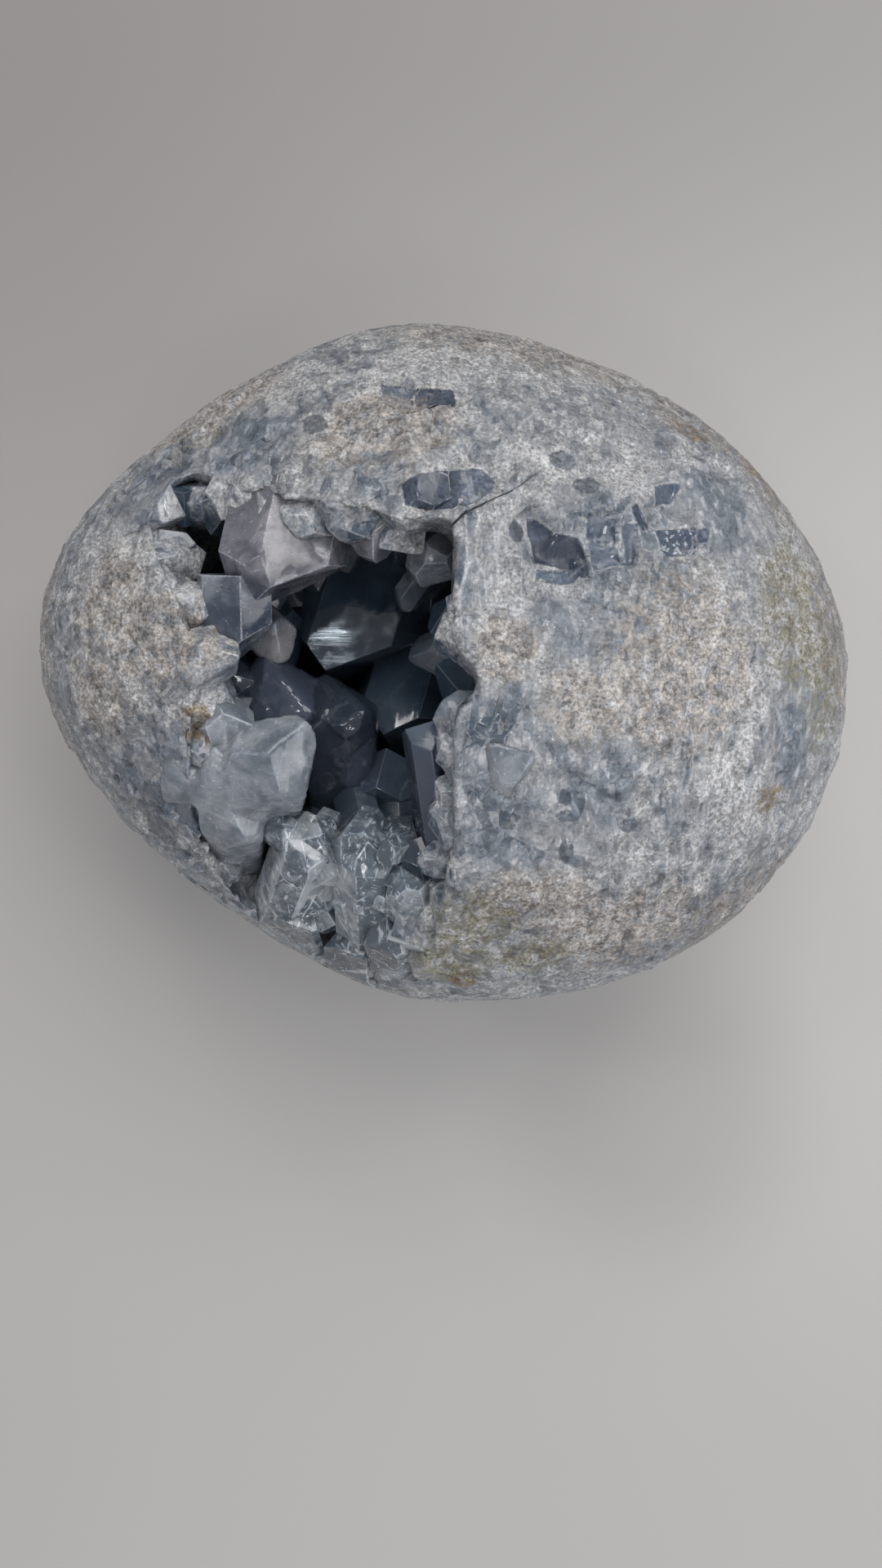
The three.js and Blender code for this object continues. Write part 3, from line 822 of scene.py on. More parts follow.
class GEODE_OT_stone(bpy.types.Operator):
    """Model the massive stone with its grain, pits, fracture and skin"""

    bl_idname = "geode.stone"
    bl_label = "Massive Stone"

    def execute(self, context):
        settings = context.scene.geode_stone
        stone = merged_copy("geode_shell", "massive_stone")
        apply(stone, "REMESH", mode="VOXEL", voxel_size=settings.mesh_size, use_smooth_shade=True)
        apply(stone, "SMOOTH", iterations=3, factor=0.5)
        lay_patches(stone)
        weather(stone, settings)
        press_windows(stone)
        split_crack(stone, settings)
        only(stone)
        bpy.ops.object.shade_smooth()
        hand_over(stone, stone_material(settings), "geode_shell")
        return {"FINISHED"}


# ---- crystals ----------------------------------------------------------------------------------------------

# Angles between celestite's faces and its long axis, or its width for the prism faces.
PRISM_ANGLE = math.radians(38)
WEDGE_ANGLE = math.radians(38)
ROOF_ANGLE = math.radians(51)

CORNER_GAP = 0.02  # corners closer than this are merged before the edges are worn
BEVEL_GAP = 0.005  # and those closer than this after it
BEVEL_SPREAD = 1.8  # how much wider than the bevel's own width a worn edge may come out
CHIP_DEPTH = (0.06, 0.14)  # of a broken corner, as a part of the crystal's width
ICE_MESH = 0.5
ICE_FACET = 6.0
SMALL_ICE_FACET = 2.6
SMALL_ICE_HEIGHT = 0.4  # times the large facets' height
SMOOTH_ANGLE = math.radians(25)  # edges blunter than this are shaded smooth
TONE_STEPS = 12  # places along each crystal that its faces are matched to
TIP_MARGIN = 0.7  # how far under the stone's former surface a tip stays
ABOVE_STONE = 120  # height from which the stone's former surface is looked for
BESIDE_STONE = 50.0  # height that stands for it beside the stone

# Each crystal runs from its root in the wall to its tip, in millimetres from the stone's centre. `size` is
# its width and thickness, its broad faces look along `facing`, `lean` moves the wedge's ridge to one side,
# `blunt` is how much of the tip is worn flat, and `chips` is how many corners are broken. Crystals with the
# same `ice` melted together in one rounded lump.
DUSK_CRYSTALS = {
    "dusk_left": dict(
        root=(-27, -19, 44), tip=(-21.5, -5.5, 68), size=(14, 12), facing=(6, -3, 7), ice="dusk"
    ),
    "dusk_right": dict(
        root=(-15.5, -28, 48), tip=(-14, -6.5, 66), size=(12, 11), facing=(3, 4, 8), ice="dusk"
    ),
    "heart": dict(root=(-6, 25, 52), tip=(-15.2, -4.6, 55), size=(20, 11), facing=(0.02, 0.07, 1), lean=-0.2),
    "heart_right": dict(root=(0, 14, 42), tip=(-8.0, -14.5, 52.5), size=(18, 12), facing=(-0.25, 0.05, 1)),
    "heart_left": dict(root=(-34, 12, 42), tip=(-22.5, 0, 60), size=(11, 9), facing=(0.3, 0.3, 0.8)),
    "blade_long": dict(root=(0, -38, 62), tip=(-3.5, -12, 77), size=(6.5, 4), facing=(-0.9, 0.1, 0.5)),
    "blade_mid": dict(root=(4, -32, 58), tip=(-2.5, -18, 73), size=(6, 4), facing=(-0.8, 0.2, 0.7)),
    "blade_low": dict(root=(-1, -43, 56), tip=(-5, -27, 70), size=(6, 4), facing=(-0.8, 0.3, 0.6)),
    "deep_plate": dict(root=(-7, -32, 42), tip=(-9, -17, 63), size=(12, 7), facing=(-0.2, -0.6, 0.8)),
    "notch": dict(root=(-37, -6, 56), tip=(-28, -5, 68), size=(8, 6), facing=(-0.4, 0.2, 0.9)),
    "niche_top": dict(root=(-39, 25, 58), tip=(-35, 17, 70), size=(7, 5), facing=(0.2, 0.4, 0.9)),
    "niche_right": dict(root=(-28, 23, 62), tip=(-30, 15, 72), size=(6, 5), facing=(0.5, 0.3, 0.8)),
    "jamb_upper": dict(root=(7, 4, 54), tip=(-1, 3, 67), size=(7, 5), facing=(-0.7, -0.4, 0.6)),
    "jamb_lower": dict(root=(7, -4, 58), tip=(0.5, -6, 72), size=(7, 6), facing=(-0.7, 0.3, 0.7)),
}
FROST_CRYSTALS = {
    "lintel": dict(
        root=(-19.5, 21, 70), tip=(-22.5, 3.6, 74.5), size=(17.5, 11), facing=(0.4, 0.1, 0.9), lean=-0.28
    ),
    "cube": dict(root=(-28, 8, 73), tip=(-28, -4, 70.5), size=(11, 7), facing=(-0.3, 0.2, 0.9), lean=-0.4),
    "blob": dict(root=(-27, 4, 58), tip=(-22.6, -0.6, 68), size=(8, 6.5), facing=(0.2, 0.3, 1), ice="blob"),
    "ice_upper": dict(
        root=(-27, -22, 58), tip=(-22, -14.8, 80), size=(14, 12), facing=(-5, -4, 6), ice="ice"
    ),
    "ice_middle": dict(root=(-33, -21, 58), tip=(-28, -18, 78), size=(10, 9), facing=(5, -4, 6), ice="ice"),
    "ice_left": dict(root=(-37, -20, 54), tip=(-34, -18, 75), size=(10, 9), facing=(5, -4, 6), ice="ice"),
    "ice_lower": dict(root=(-31, -29, 54), tip=(-28.5, -22, 77), size=(11, 9), facing=(-5, -5, 6), ice="ice"),
    "shoulder": dict(
        root=(9, -16, 64), tip=(4.0, -13.5, 84), size=(16, 14), facing=(5, -5, 6), ice="shoulder"
    ),
    "shoulder_low": dict(
        root=(9, -25, 62), tip=(4.6, -22, 82), size=(12, 11), facing=(5, 5, 6), ice="shoulder"
    ),
    "notch_low": dict(
        root=(-37, -12, 60), tip=(-27.5, -11, 74), size=(9, 6), facing=(-0.5, 0.3, 0.8), chips=2
    ),
    "niche_left": dict(root=(-44, 14, 60), tip=(-35, 11, 72), size=(7, 5), facing=(-0.2, -0.6, 0.8), chips=1),
    "eave_mid": dict(root=(-9, 20, 66), tip=(-9.5, 11, 77), size=(8, 6), facing=(0, 0.5, 0.9), chips=3),
    "eave_right": dict(root=(3, 17, 60), tip=(-3.5, 9, 71), size=(8, 6), facing=(-0.4, -0.5, 0.8), chips=2),
}
SPRAY_CRYSTALS = {
    "spray_left": dict(
        root=(-25, -40, 48), tip=(-17, -24, 70), size=(10, 8), facing=(-0.2, -0.5, 0.8), blunt=0.15, chips=4
    ),
    "spray_star": dict(
        root=(-11, -44, 50), tip=(-10.5, -27, 70), size=(10, 8), facing=(0.1, -0.6, 0.8), chips=4
    ),
    "spray_right": dict(root=(-3, -44, 52), tip=(-6, -31, 70), size=(8, 6), facing=(0.2, -0.6, 0.8), chips=4),
    "toe_left": dict(
        root=(-21, -45, 46), tip=(-22, -37, 62), size=(8, 6), facing=(-0.4, -0.8, 0.5), blunt=0.15, chips=4
    ),
    "toe_mid": dict(
        root=(-13, -49, 44), tip=(-14, -41, 61), size=(8, 6), facing=(0, -1, 0.6), blunt=0.15, chips=4
    ),
    "toe_right": dict(root=(-6, -50, 46), tip=(-8, -39, 64), size=(8, 6), facing=(0.3, -1, 0.6), chips=4),
}
# How many rounds of smoothing each group of crystals that melted together gets.
ROUNDING = {"dusk": 26, "ice": 14, "shoulder": 30, "blob": 10}
# Plan of the hollow's mouth, clockwise from its left.
MOUTH_OUTLINE = [
    (-40, 18), (-34, 21.5), (-27, 18), (-17, 16), (-7, 13.5), (0.5, 13.5), (0.5, 6), (0, -2), (4, -7),
    (0.5, -12), (0.5, -20), (0.5, -28), (-1, -36), (-5, -48), (-14, -49), (-24, -44), (-31, -33), (-34, -23),
    (-33, -13), (-31, -5), (-34, 3), (-37, 9),
]

# Right of and behind this place the mouth's edge is sheer, with no crystals along it.
SHEER_WALL = Vector((-2, -8, 0))
# Right of and behind this one a clear crystal lies close behind the edge.
EAVE = Vector((-8, 12, 0))


def cut(co, normal):
    """Cuts off what lies beyond a plane, and closes the cut."""
    bpy.ops.mesh.select_all(action="SELECT")
    bpy.ops.mesh.bisect(plane_co=co, plane_no=normal, use_fill=True, clear_outer=True)


def soften(block, rounding, height):
    """Rounds a block by that many rounds of smoothing, then gives it a broken, icy skin of that height."""
    apply(block, "REMESH", mode="VOXEL", voxel_size=ICE_MESH * MM)
    apply(block, "SMOOTH", iterations=rounding, factor=0.6)
    moved = []
    for vertex in block.data.vertices:
        point = vertex.co / MM
        facets = facet(point, ICE_FACET) + SMALL_ICE_HEIGHT * facet(point, SMALL_ICE_FACET)
        moved.append(vertex.co + vertex.normal * height * facets)
    for vertex, co in zip(block.data.vertices, moved):
        vertex.co = co


def mark_edges(block, width):
    """Stores on the block's faces which ones are worn edges: those no wider than the bevel."""
    worn = []
    for face in block.data.polygons:
        spots = [block.data.vertices[index].co for index in face.vertices]
        around = sum((a - b).length for a, b in zip(spots, spots[1:] + spots[:1]))
        worn.append(float(2 * face.area < BEVEL_SPREAD * width * around))
    block.data.attributes.new("worn", "FLOAT", "FACE").data.foreach_set("value", worn)


def crystal(name, edge, root, tip, size, facing, lean=0.0, blunt=0.0, chips=0):
    """Cuts one crystal from a block: four prism faces, a wedge, a worn tip, broken corners and worn edges."""
    root, tip = place(root), place(tip)
    width, thickness = (value * MM for value in size)
    reach = (tip - root).length
    along = (tip - root).normalized()
    across = Vector(facing).cross(along).normalized()
    broad = along.cross(across)
    turn = Matrix((across, broad, along)).transposed()
    bpy.ops.object.select_all(action="DESELECT")
    bpy.ops.mesh.primitive_cube_add(
        size=1, location=(root + tip) / 2, rotation=turn.to_euler(), scale=(width, thickness, reach)
    )
    block = bpy.context.object
    block.name = name
    edit(block)

    def shave(x, y, z, distance):
        normal = (turn @ Vector((x, y, z))).normalized()
        cut(root + normal * distance, normal)

    for side in (-1, 1):
        for face in (-1, 1):
            prism = math.cos(PRISM_ANGLE)
            shave(side * prism, face * math.sin(PRISM_ANGLE), 0, width / 2 * prism)
        shift = side * lean * width / 2 * math.sin(WEDGE_ANGLE)
        shave(side * math.sin(WEDGE_ANGLE), 0, math.cos(WEDGE_ANGLE), reach * math.cos(WEDGE_ANGLE) + shift)
        if blunt:
            shave(0, side * math.sin(ROOF_ANGLE), math.cos(ROOF_ANGLE), reach * math.cos(ROOF_ANGLE))
    if blunt:
        shave(0, 0, 1, reach * (1 - blunt))
    chance = random.Random(name)
    for _ in range(chips):
        toward = Vector((chance.uniform(-1, 1), chance.uniform(-1, 1), chance.uniform(0.2, 1)))
        normal = (turn @ toward).normalized()
        block.update_from_editmode()
        far = max((block.matrix_world @ vertex.co - root).dot(normal) for vertex in block.data.vertices)
        cut(root + normal * (far - chance.uniform(*CHIP_DEPTH) * width), normal)
    bpy.ops.mesh.select_all(action="SELECT")
    bpy.ops.mesh.remove_doubles(threshold=CORNER_GAP * MM)
    bpy.ops.mesh.bevel(offset=edge, segments=1, affect="EDGES", clamp_overlap=True)
    bpy.ops.mesh.remove_doubles(threshold=BEVEL_GAP * MM)
    leave()
    settle(block)
    mark_edges(block, edge)
    return block


def envelope():
    """The stone's outside as it was before it broke open, which no crystal passes."""
    hull = merged_copy("geode_shell", "envelope")
    edit(hull)
    bpy.ops.mesh.convex_hull(delete_unused=True, use_existing_faces=False)
    leave()
    return hull


def tell_apart(piece, forms):
    """Stores each crystal's tone, a random number, on its faces."""
    tree = kdtree.KDTree(len(forms) * TONE_STEPS)
    tones = []
    for key, form in forms.items():
        root, tip = place(form["root"]), place(form["tip"])
        for step in range(TONE_STEPS):
            tree.insert(root.lerp(tip, (step + 0.5) / TONE_STEPS), len(tones))
        tones.append(random.Random(f"tone{key}").random())
    tree.balance()
    values = [tones[tree.find(face.center)[1]] for face in piece.data.polygons]
    piece.data.attributes.new("tone", "FLOAT", "FACE").data.foreach_set("value", values)


def dropped(hull, spot):
    """The place right below or above `spot` on the hull, and the way the hull faces there."""
    hit, top, facing, _ = hull.ray_cast(place((spot.x, spot.y, ABOVE_STONE)), Vector((0, 0, -1)))
    if not hit:
        return Vector((spot.x, spot.y, BESIDE_STONE)), Vector((0, 0, 1))
    return top / MM - PLAN_SHIFT, facing


def sunk(form, hull):
    """The form, lowered where its tip would stand above the stone's former surface."""
    root, tip = Vector(form["root"]), Vector(form["tip"])
    surface, _ = dropped(hull, tip)
    down = Vector((0, 0, max(0.0, tip.z + TIP_MARGIN - surface.z)))
    return {**form, "root": root - down, "tip": tip - down}


def grow(name, forms, material, replaced=None):
    """Makes one fused piece from a group of crystals."""
    settings = bpy.context.scene.geode_crystals
    hull = envelope()
    forms = {key: sunk(form, hull) for key, form in forms.items()}
    blocks, melted = [], {}
    for key, form in forms.items():
        ice = form.pop("ice", None)
        block = crystal(key, settings.edge, **form)
        if ice:
            melted.setdefault(ice, []).append(block)
        else:
            blocks.append(block)
    for ice, group in melted.items():
        lump = fuse(group, ice)
        soften(lump, ROUNDING[ice], settings.ice_height)
        blocks.append(lump)
    piece = fuse(blocks, name)
    carve(piece, hull, "INTERSECT")
    tell_apart(piece, forms)
    only(piece)
    bpy.ops.object.shade_smooth_by_angle(angle=SMOOTH_ANGLE)
    hand_over(piece, material, replaced)
    return piece


def dusk_material(settings):
    """Clear dark crystal with a navy or violet body, and faint growth lines on its faces."""
    s = Shader("dusk_crystal")
    veil = s.noise(5.0, s.drifted(4.0, 2.0), detail=5.0, roughness=0.6)
    tone = s.blend(s.ramp(veil, 0.42, 0.75, 0.0, 0.7), tuple(settings.navy), (0.17, 0.23, 0.30))
    violet = s.math("MAXIMUM", s.patch((-20.5, -6, 66), 13.0), s.patch((-13, -14, 63), 12.0))
    violet = s.math("MAXIMUM", violet, s.patch((-2, -20, 74), 13.0))
    tone = s.blend(s.math("MULTIPLY", violet, 0.8), tone, tuple(settings.violet))
    tone = s.blend(1.0, tone, s.ramp(s.attribute("tone"), 0.0, 1.0, 0.65, 1.35), "MULTIPLY")
    # Painted shade: the crystals in the middle of the hollow are darkened
    middle = s.patch((-12, 3, 60), 13.0)
    tone = s.blend(s.math("MULTIPLY", middle, 0.6), tone, (0.025, 0.042, 0.07))
    tone = s.blend(s.math("MULTIPLY", s.attribute("worn"), 0.3), tone, (0.30, 0.34, 0.40))
    rough = s.ramp(s.noise(2.0, detail=4.0), 0.35, 0.75, 0.03, 0.14)
    lines = s.noise(0.8, s.stretched(s.place, (0.15, 1.0, 1.0)), detail=2.0)
    normal = s.bump(lines, 0.015, 0.2, s.bump(s.noise(9.0, detail=0.0), 0.12, 3.0))
    return s.finish(
        volume=((0.35, 0.47, 0.62), 110.0),
        Base_Color=tone, Roughness=rough, Normal=normal, IOR=CELESTITE_IOR, Transmission_Weight=0.5,
    )


def frost_material(settings):
    """Milky crystal with abraded faces: a pale body with clearer parts, healed cracks and a glossy face."""
    s = Shader("frost_crystal")
    milk = s.noise(5.0, s.drifted(4.0, 1.5), detail=5.0, roughness=0.65)
    faces = s.cells(3.4, s.drifted(2.5, 0.4))[1]
    along = s.turned(s.drifted(3.0, 0.3), (0, 0, -0.15), (0.22, 1.0, 1.0))
    scratch = s.noise(0.35, along, detail=4.0, roughness=0.7)
    fleck = s.noise(0.6, detail=4.0, roughness=0.75)
    lintel, cube = s.patch((-19, 12, 77), 16.0), s.patch((-26, 3, 73), 10.0)
    tone = s.blend(s.ramp(milk, 0.32, 0.68), tuple(settings.frost), (0.40, 0.425, 0.46))
    tone = s.blend(lintel, tone, s.blend(s.ramp(milk, 0.4, 0.65), (0.18, 0.18, 0.215), (0.33, 0.32, 0.35)))
    tone = s.blend(cube, tone, s.blend(s.ramp(milk, 0.4, 0.65), (0.085, 0.112, 0.165), (0.17, 0.195, 0.245)))
    blob = s.patch((-22.6, 0.3, 66), 4.5)
    tone = s.blend(blob, tone, (0.40, 0.385, 0.405))
    crust = s.inside([(-34, 22), (-18, 24), (-24.5, 12), (-29.5, 9)], s.drifted(2.0, 0.6))
    tone = s.blend(s.ramp(crust, 0.0, 0.3, 0.0, 0.55), tone, (0.12, 0.125, 0.16))
    shells = s.borders(5.0, 0.14, s.drifted(6.0, 2.5))
    shells = s.math("MULTIPLY", shells, s.ramp(fleck, 0.48, 0.62))
    shells = s.math("MULTIPLY", shells, s.total(0.7, (lintel, -0.6)))
    scratched = s.math("MULTIPLY", s.ramp(scratch, 0.60, 0.72), s.ramp(milk, 0.42, 0.55))
    flecks = s.math("MULTIPLY", s.ramp(fleck, 0.66, 0.70), s.ramp(milk, 0.4, 0.6))
    edges = s.math("MULTIPLY", s.attribute("worn"), s.ramp(fleck, 0.35, 0.6, 0.15, 0.7))
    marks = s.math("MAXIMUM", s.math("MAXIMUM", scratched, flecks), s.math("MAXIMUM", shells, edges))
    glassy = s.math("MAXIMUM", s.patch((-20.5, -12, 79), 5.5), s.patch((-25, -24, 74), 4.0))
    tone = s.blend(s.math("MULTIPLY", glassy, 0.6), tone, (0.15, 0.185, 0.235))
    tone = s.blend(s.math("MULTIPLY", marks, 0.75), tone, (0.70, 0.70, 0.72))
    clear = s.ramp(milk, 0.32, 0.68, 0.4, 0.05)
    rough = s.total(0.06, (marks, 0.3), (s.ramp(milk, 0.3, 0.7), 0.10))
    normal = s.bump(scratch, 0.10, 0.2, s.bump(faces, 0.18, 1.0))
    return s.finish(
        volume=((0.50, 0.60, 0.72), 60.0),
        Base_Color=tone, Roughness=rough, Normal=normal, IOR=CELESTITE_IOR, Transmission_Weight=clear,
        Subsurface_Weight=1.0, Subsurface_Radius=(1.0, 1.2, 1.5), Subsurface_Scale=1.5 * MM,
    )


def spray_material(settings):
    """Clear crystal full of fractures, which whiten where they lie near the surface."""
    s = Shader("spray_crystal")
    milk = s.noise(2.2, s.drifted(2.0, 1.0), detail=5.0, roughness=0.7)
    layers = s.turned(s.drifted(4.0, 2.0), (0.4, 0.2, 0.5), (1.0, 0.25, 1.0))
    shell = s.noise(0.9, layers, detail=4.0, roughness=0.7)
    share = s.total((milk, 0.7), (s.attribute("tone"), 0.3))
    tone = s.blend(s.ramp(share, 0.35, 0.62), tuple(settings.spray), (0.50, 0.54, 0.58))
    edges = s.math("MULTIPLY", s.attribute("worn"), s.ramp(milk, 0.4, 0.6, 0.0, 0.5))
    seams = s.borders(4.5, 0.10, s.turned(s.drifted(8.0, 0.8), (0.3, 0.2, 0.8), (1.0, 0.3, 1.0)))
    seams = s.math("MULTIPLY", seams, s.ramp(s.noise(3.0, detail=2.0), 0.45, 0.6))
    cracks = s.math("MULTIPLY", s.ramp(shell, 0.55, 0.66), 0.9)
    cracks = s.math("MAXIMUM", cracks, s.math("MAXIMUM", edges, seams))
    tone = s.blend(s.math("MULTIPLY", cracks, 0.85), tone, (0.82, 0.85, 0.89))
    clear = s.math("MULTIPLY", s.ramp(share, 0.35, 0.65, 0.65, 0.2), s.total(1.0, (cracks, -0.8)))
    rough = s.ramp(milk, 0.3, 0.7, 0.05, 0.2)
    splinters = s.cells(1.1, s.turned(s.place, (0.3, 0.8, 0.4), (1.0, 0.4, 1.0)))[1]
    normal = s.bump(splinters, 0.22, 1.0, s.bump(s.cells(2.4)[1], 0.3, 1.0))
    return s.finish(
        volume=((0.50, 0.60, 0.72), 50.0),
        Base_Color=tone, Roughness=rough, Normal=normal, IOR=CELESTITE_IOR, Transmission_Weight=clear,
        Subsurface_Weight=1.0, Subsurface_Radius=(1.0, 1.2, 1.5), Subsurface_Scale=1.0 * MM,
        Specular_IOR_Level=0.8,
    )


def fracture_material():
    """Healed fractures inside the clear crystals: thin silvery sheets."""
    s = Shader("healed_fracture")
    tone = s.blend(s.ramp(s.noise(1.2, detail=4.0), 0.4, 0.6), (0.50, 0.55, 0.61), (0.85, 0.88, 0.92))
    return s.finish(Base_Color=tone, Roughness=0.15, IOR=CELESTITE_IOR, Specular_IOR_Level=1.0)


def golden_heading(index):
    """The heading of one in a series that spreads evenly around."""
    return index * math.pi * (3 - math.sqrt(5))


def on_disc(index, count):
    """One of `count` places spread evenly over a disc of radius 1."""
    share = (index + 0.5) / count
    heading = golden_heading(index)
    return Vector((math.cos(heading), math.sin(heading), 0)) * math.sqrt(share)


def on_oval(spot, centre, radii):
    """The place on an oval that a place on the disc goes to."""
    return Vector((centre[0] + radii[0] * spot.x, centre[1] + radii[1] * spot.y, 0))


# The spray and its fractures, in millimetres from the stone's centre
SPRAY_CENTRE = (-15.5, -38.5)
SPRAY_RADII = (12.5, 11.0)
SPRAY_TOP = 76.0
SPRAY_ROOT = 9.0  # from the stone's former surface in to the small crystals' roots
SHEETS_CENTRE = (-14.5, -34.5)
SHEETS_RADII = (11.0, 10.0)
SHEETS_RIDGE = (-28, 71)  # y and height of the line from which they lie lower to both sides
SHEETS_SLOPE = 0.5
SHEET_THICKNESS = 0.08
SHEET_COVER = 0.12  # how far inside the crystals' faces they end


def fracture_sheets(count, body):
    """Thin plates scattered through the clear crystals at the front, cut off inside their faces."""
    sheets = []
    for i in range(count):
        chance = random.Random(f"sheet{i}")
        spot = on_oval(on_disc(i, count), SHEETS_CENTRE, SHEETS_RADII)
        ridge, top = SHEETS_RIDGE
        spot.z = top - SHEETS_SLOPE * abs(spot.y - ridge) + chance.uniform(-4, 1)
        bpy.ops.object.select_all(action="DESELECT")
        bpy.ops.mesh.primitive_cube_add(
            size=1, location=place(spot), rotation=[chance.uniform(-1.4, 1.4) for _ in range(3)],
            scale=[value * MM for value in (chance.uniform(4, 9), chance.uniform(3, 7), SHEET_THICKNESS)],
        )
        settle(bpy.context.object)
        sheets.append(bpy.context.object)
    sheets = fuse(sheets, "healed_fractures")
    inner = body.copy()
    inner.data = body.data.copy()
    bpy.context.scene.collection.objects.link(inner)
    apply(inner, "DISPLACE", strength=-SHEET_COVER * MM, mid_level=0.0)
    carve(sheets, inner, "INTERSECT")
    return sheets


def scattered(prefix, roots, aims, reach, width, splay):
    """Forms of small random crystals from each root towards its aim."""
    forms = {}
    for i, (root, aim) in enumerate(zip(roots, aims)):
        chance = random.Random(f"{prefix}{i}")
        turn = Vector([chance.uniform(-splay, splay) for _ in range(3)])
        wide = chance.uniform(*width)
        forms[f"{prefix}_{i}"] = dict(
            root=root,
            tip=root + (aim.normalized() + turn).normalized() * chance.uniform(*reach),
            size=(wide, wide * chance.uniform(0.55, 0.9)),
            facing=[chance.uniform(-1, 1) for _ in range(3)],
            lean=chance.uniform(-0.4, 0.4),
            blunt=chance.choice((0.0, 0.1, 0.2)),
            chips=chance.choice((0, 1, 2)),
        )
    return forms


DRUSE_TILTS = (-75, 38)  # from nearly straight below the hollow's middle to well above it
DRUSE_DEPTH = 1.5  # from the wall's surface to the crystals' roots


def druse_forms(count):
    """Small crystals spread evenly over the hollow's wall by the golden angle."""
    roots, aims = [], []
    lowest, highest = (math.sin(math.radians(tilt)) for tilt in DRUSE_TILTS)
    for i in range(count):
        up = lowest + (highest - lowest) * (i + 0.5) / count
        heading = golden_heading(i)
        flat = math.sqrt(1 - up * up)
        outward = Vector((flat * math.cos(heading), flat * math.sin(heading), up))
        wall = zip(HOLLOW_CENTRE, HOLLOW_RADII, outward)
        roots.append(Vector([c + (r + DRUSE_DEPTH) * o for c, r, o in wall]))
        aims.append(-Vector([o / r for o, r in zip(outward, HOLLOW_RADII)]))
    return scattered("druse", roots, aims, reach=(5, 13), width=(3.5, 8), splay=0.45)


def along_mouth(count, prefix):
    """Places spread along the mouth's outline, each with the way into the hollow and its own dice."""
    corners = [Vector((x, y, 0)) for x, y in MOUTH_OUTLINE]
    sides = list(zip(corners, corners[1:] + corners[:1]))
    around = sum((end - start).length for start, end in sides)
    for i in range(count):
        chance = random.Random(f"{prefix}{i}")
        travel = around * (i + chance.random()) / count
        for start, end in sides:
            run = end - start
            if travel <= run.length:
                break
            travel -= run.length
        yield start + run * (travel / run.length), Vector((run.y, -run.x, 0)).normalized(), chance


def rim_forms(count):
    """Broken crystals along the mouth, rooted in the stone and leaning in over the hollow."""
    hull = envelope()
    roots, aims = [], []
    for spot, inward, chance in along_mouth(count, "rim"):
        surface, _ = dropped(hull, spot)
        if spot.x > SHEER_WALL.x and spot.y > SHEER_WALL.y:
            continue
        depth = Vector((0, 0, chance.uniform(3.5, 13.0)))
        roots.append(surface - inward * chance.uniform(3.0, 5.5) - depth)
        aims.append(inward + Vector((0, 0, chance.uniform(0.1, 0.9))))
    bpy.data.objects.remove(hull)
    return scattered("rim", roots, aims, reach=(5, 8.5), width=(4.5, 9.5), splay=0.35)


def band_forms(count, reach=7.0):
    """Broken crystals in a band around the mouth, whose ends stand just under the stone's former surface."""
    hull = envelope()
    roots, aims = [], []
    for spot, inward, chance in along_mouth(count, "band"):
        if spot.x > EAVE.x and spot.y > EAVE.y:
            continue
        back = (2.5, 9.0) if spot.x > SHEER_WALL.x and spot.y > SHEER_WALL.y else (0.5, 9.0)
        surface, facing = dropped(hull, spot - inward * chance.uniform(*back))
        roots.append(surface - facing * (reach + chance.uniform(0.1, 0.8)))
        aims.append(facing)
    bpy.data.objects.remove(hull)
    return scattered("band", roots, aims, reach=(reach, reach + 0.4), width=(3.5, 9.5), splay=0.4)


def spray_forms(count):
    """Small clear crystals that fan out of the hollow's front, to just under the stone's former surface."""
    hull = envelope()
    roots, aims = [], []
    for i in range(count):
        chance = random.Random(f"spray{i}")
        spot = on_disc(i, count)
        surface, facing = dropped(hull, on_oval(spot, SPRAY_CENTRE, SPRAY_RADII))
        surface.z = min(surface.z, SPRAY_TOP)
        roots.append(surface - facing * (SPRAY_ROOT + chance.uniform(0.5, 3.5)) - Vector((0, 2, 0)))
        aims.append(facing + Vector((0.3 * spot.x, 0.3, 0.3)))
    bpy.data.objects.remove(hull)
    return scattered("spray", roots, aims, reach=(7, 9.5), width=(4, 8), splay=0.4)


def druse_material(settings):
    """The crystals of the hollow's wall: grey-blue, half clear, with painted shade towards the bottom."""
    s = Shader("druse_crystal")
    chance, faces = s.cells(3.0)
    milk = s.noise(2.5, detail=4.0)
    height = s.node("ShaderNodeSeparateXYZ", Vector=s.place).outputs["Z"]
    # Painted shade: darker lower down in the hollow
    tone = s.blend(s.ramp(height, 58.0, 80.0), (0.06, 0.085, 0.12), (0.26, 0.29, 0.335))
    light = s.ramp(s.total((milk, 0.6), (chance, 0.4)), 0.45, 0.7)
    # The milky grains fade under the same painted shade lower down
    light = s.math("MULTIPLY", light, s.ramp(height, 58.0, 80.0, 0.08, 0.6))
    tone = s.blend(light, tone, (0.55, 0.56, 0.6))
    rough = s.ramp(milk, 0.3, 0.7, 0.06, 0.3)
    normal = s.bump(s.noise(0.7, detail=3.0), 0.1, 0.2, s.bump(faces, 0.15, 1.0))
    return s.finish(
        volume=((0.35, 0.45, 0.58), 120.0),
        Base_Color=tone, Roughness=rough, Normal=normal, IOR=CELESTITE_IOR, Transmission_Weight=0.4,
    )


class GEODE_OT_dusk_crystals(bpy.types.Operator):
    """Grow the dark clear crystals that fill the middle of the hollow"""

    bl_idname = "geode.dusk_crystals"
    bl_label = "Dusk Crystals"

    def execute(self, context):
        grow("dusk_crystals", DUSK_CRYSTALS, dusk_material(context.scene.geode_crystals), "crystal_crust")
        return {"FINISHED"}


class GEODE_OT_frost_crystals(bpy.types.Operator):
    """Grow the milky crystals that stand at the rim"""

    bl_idname = "geode.frost_crystals"
    bl_label = "Frost Crystals"

    def execute(self, context):
        grow("frost_crystals", FROST_CRYSTALS, frost_material(context.scene.geode_crystals))
        return {"FINISHED"}


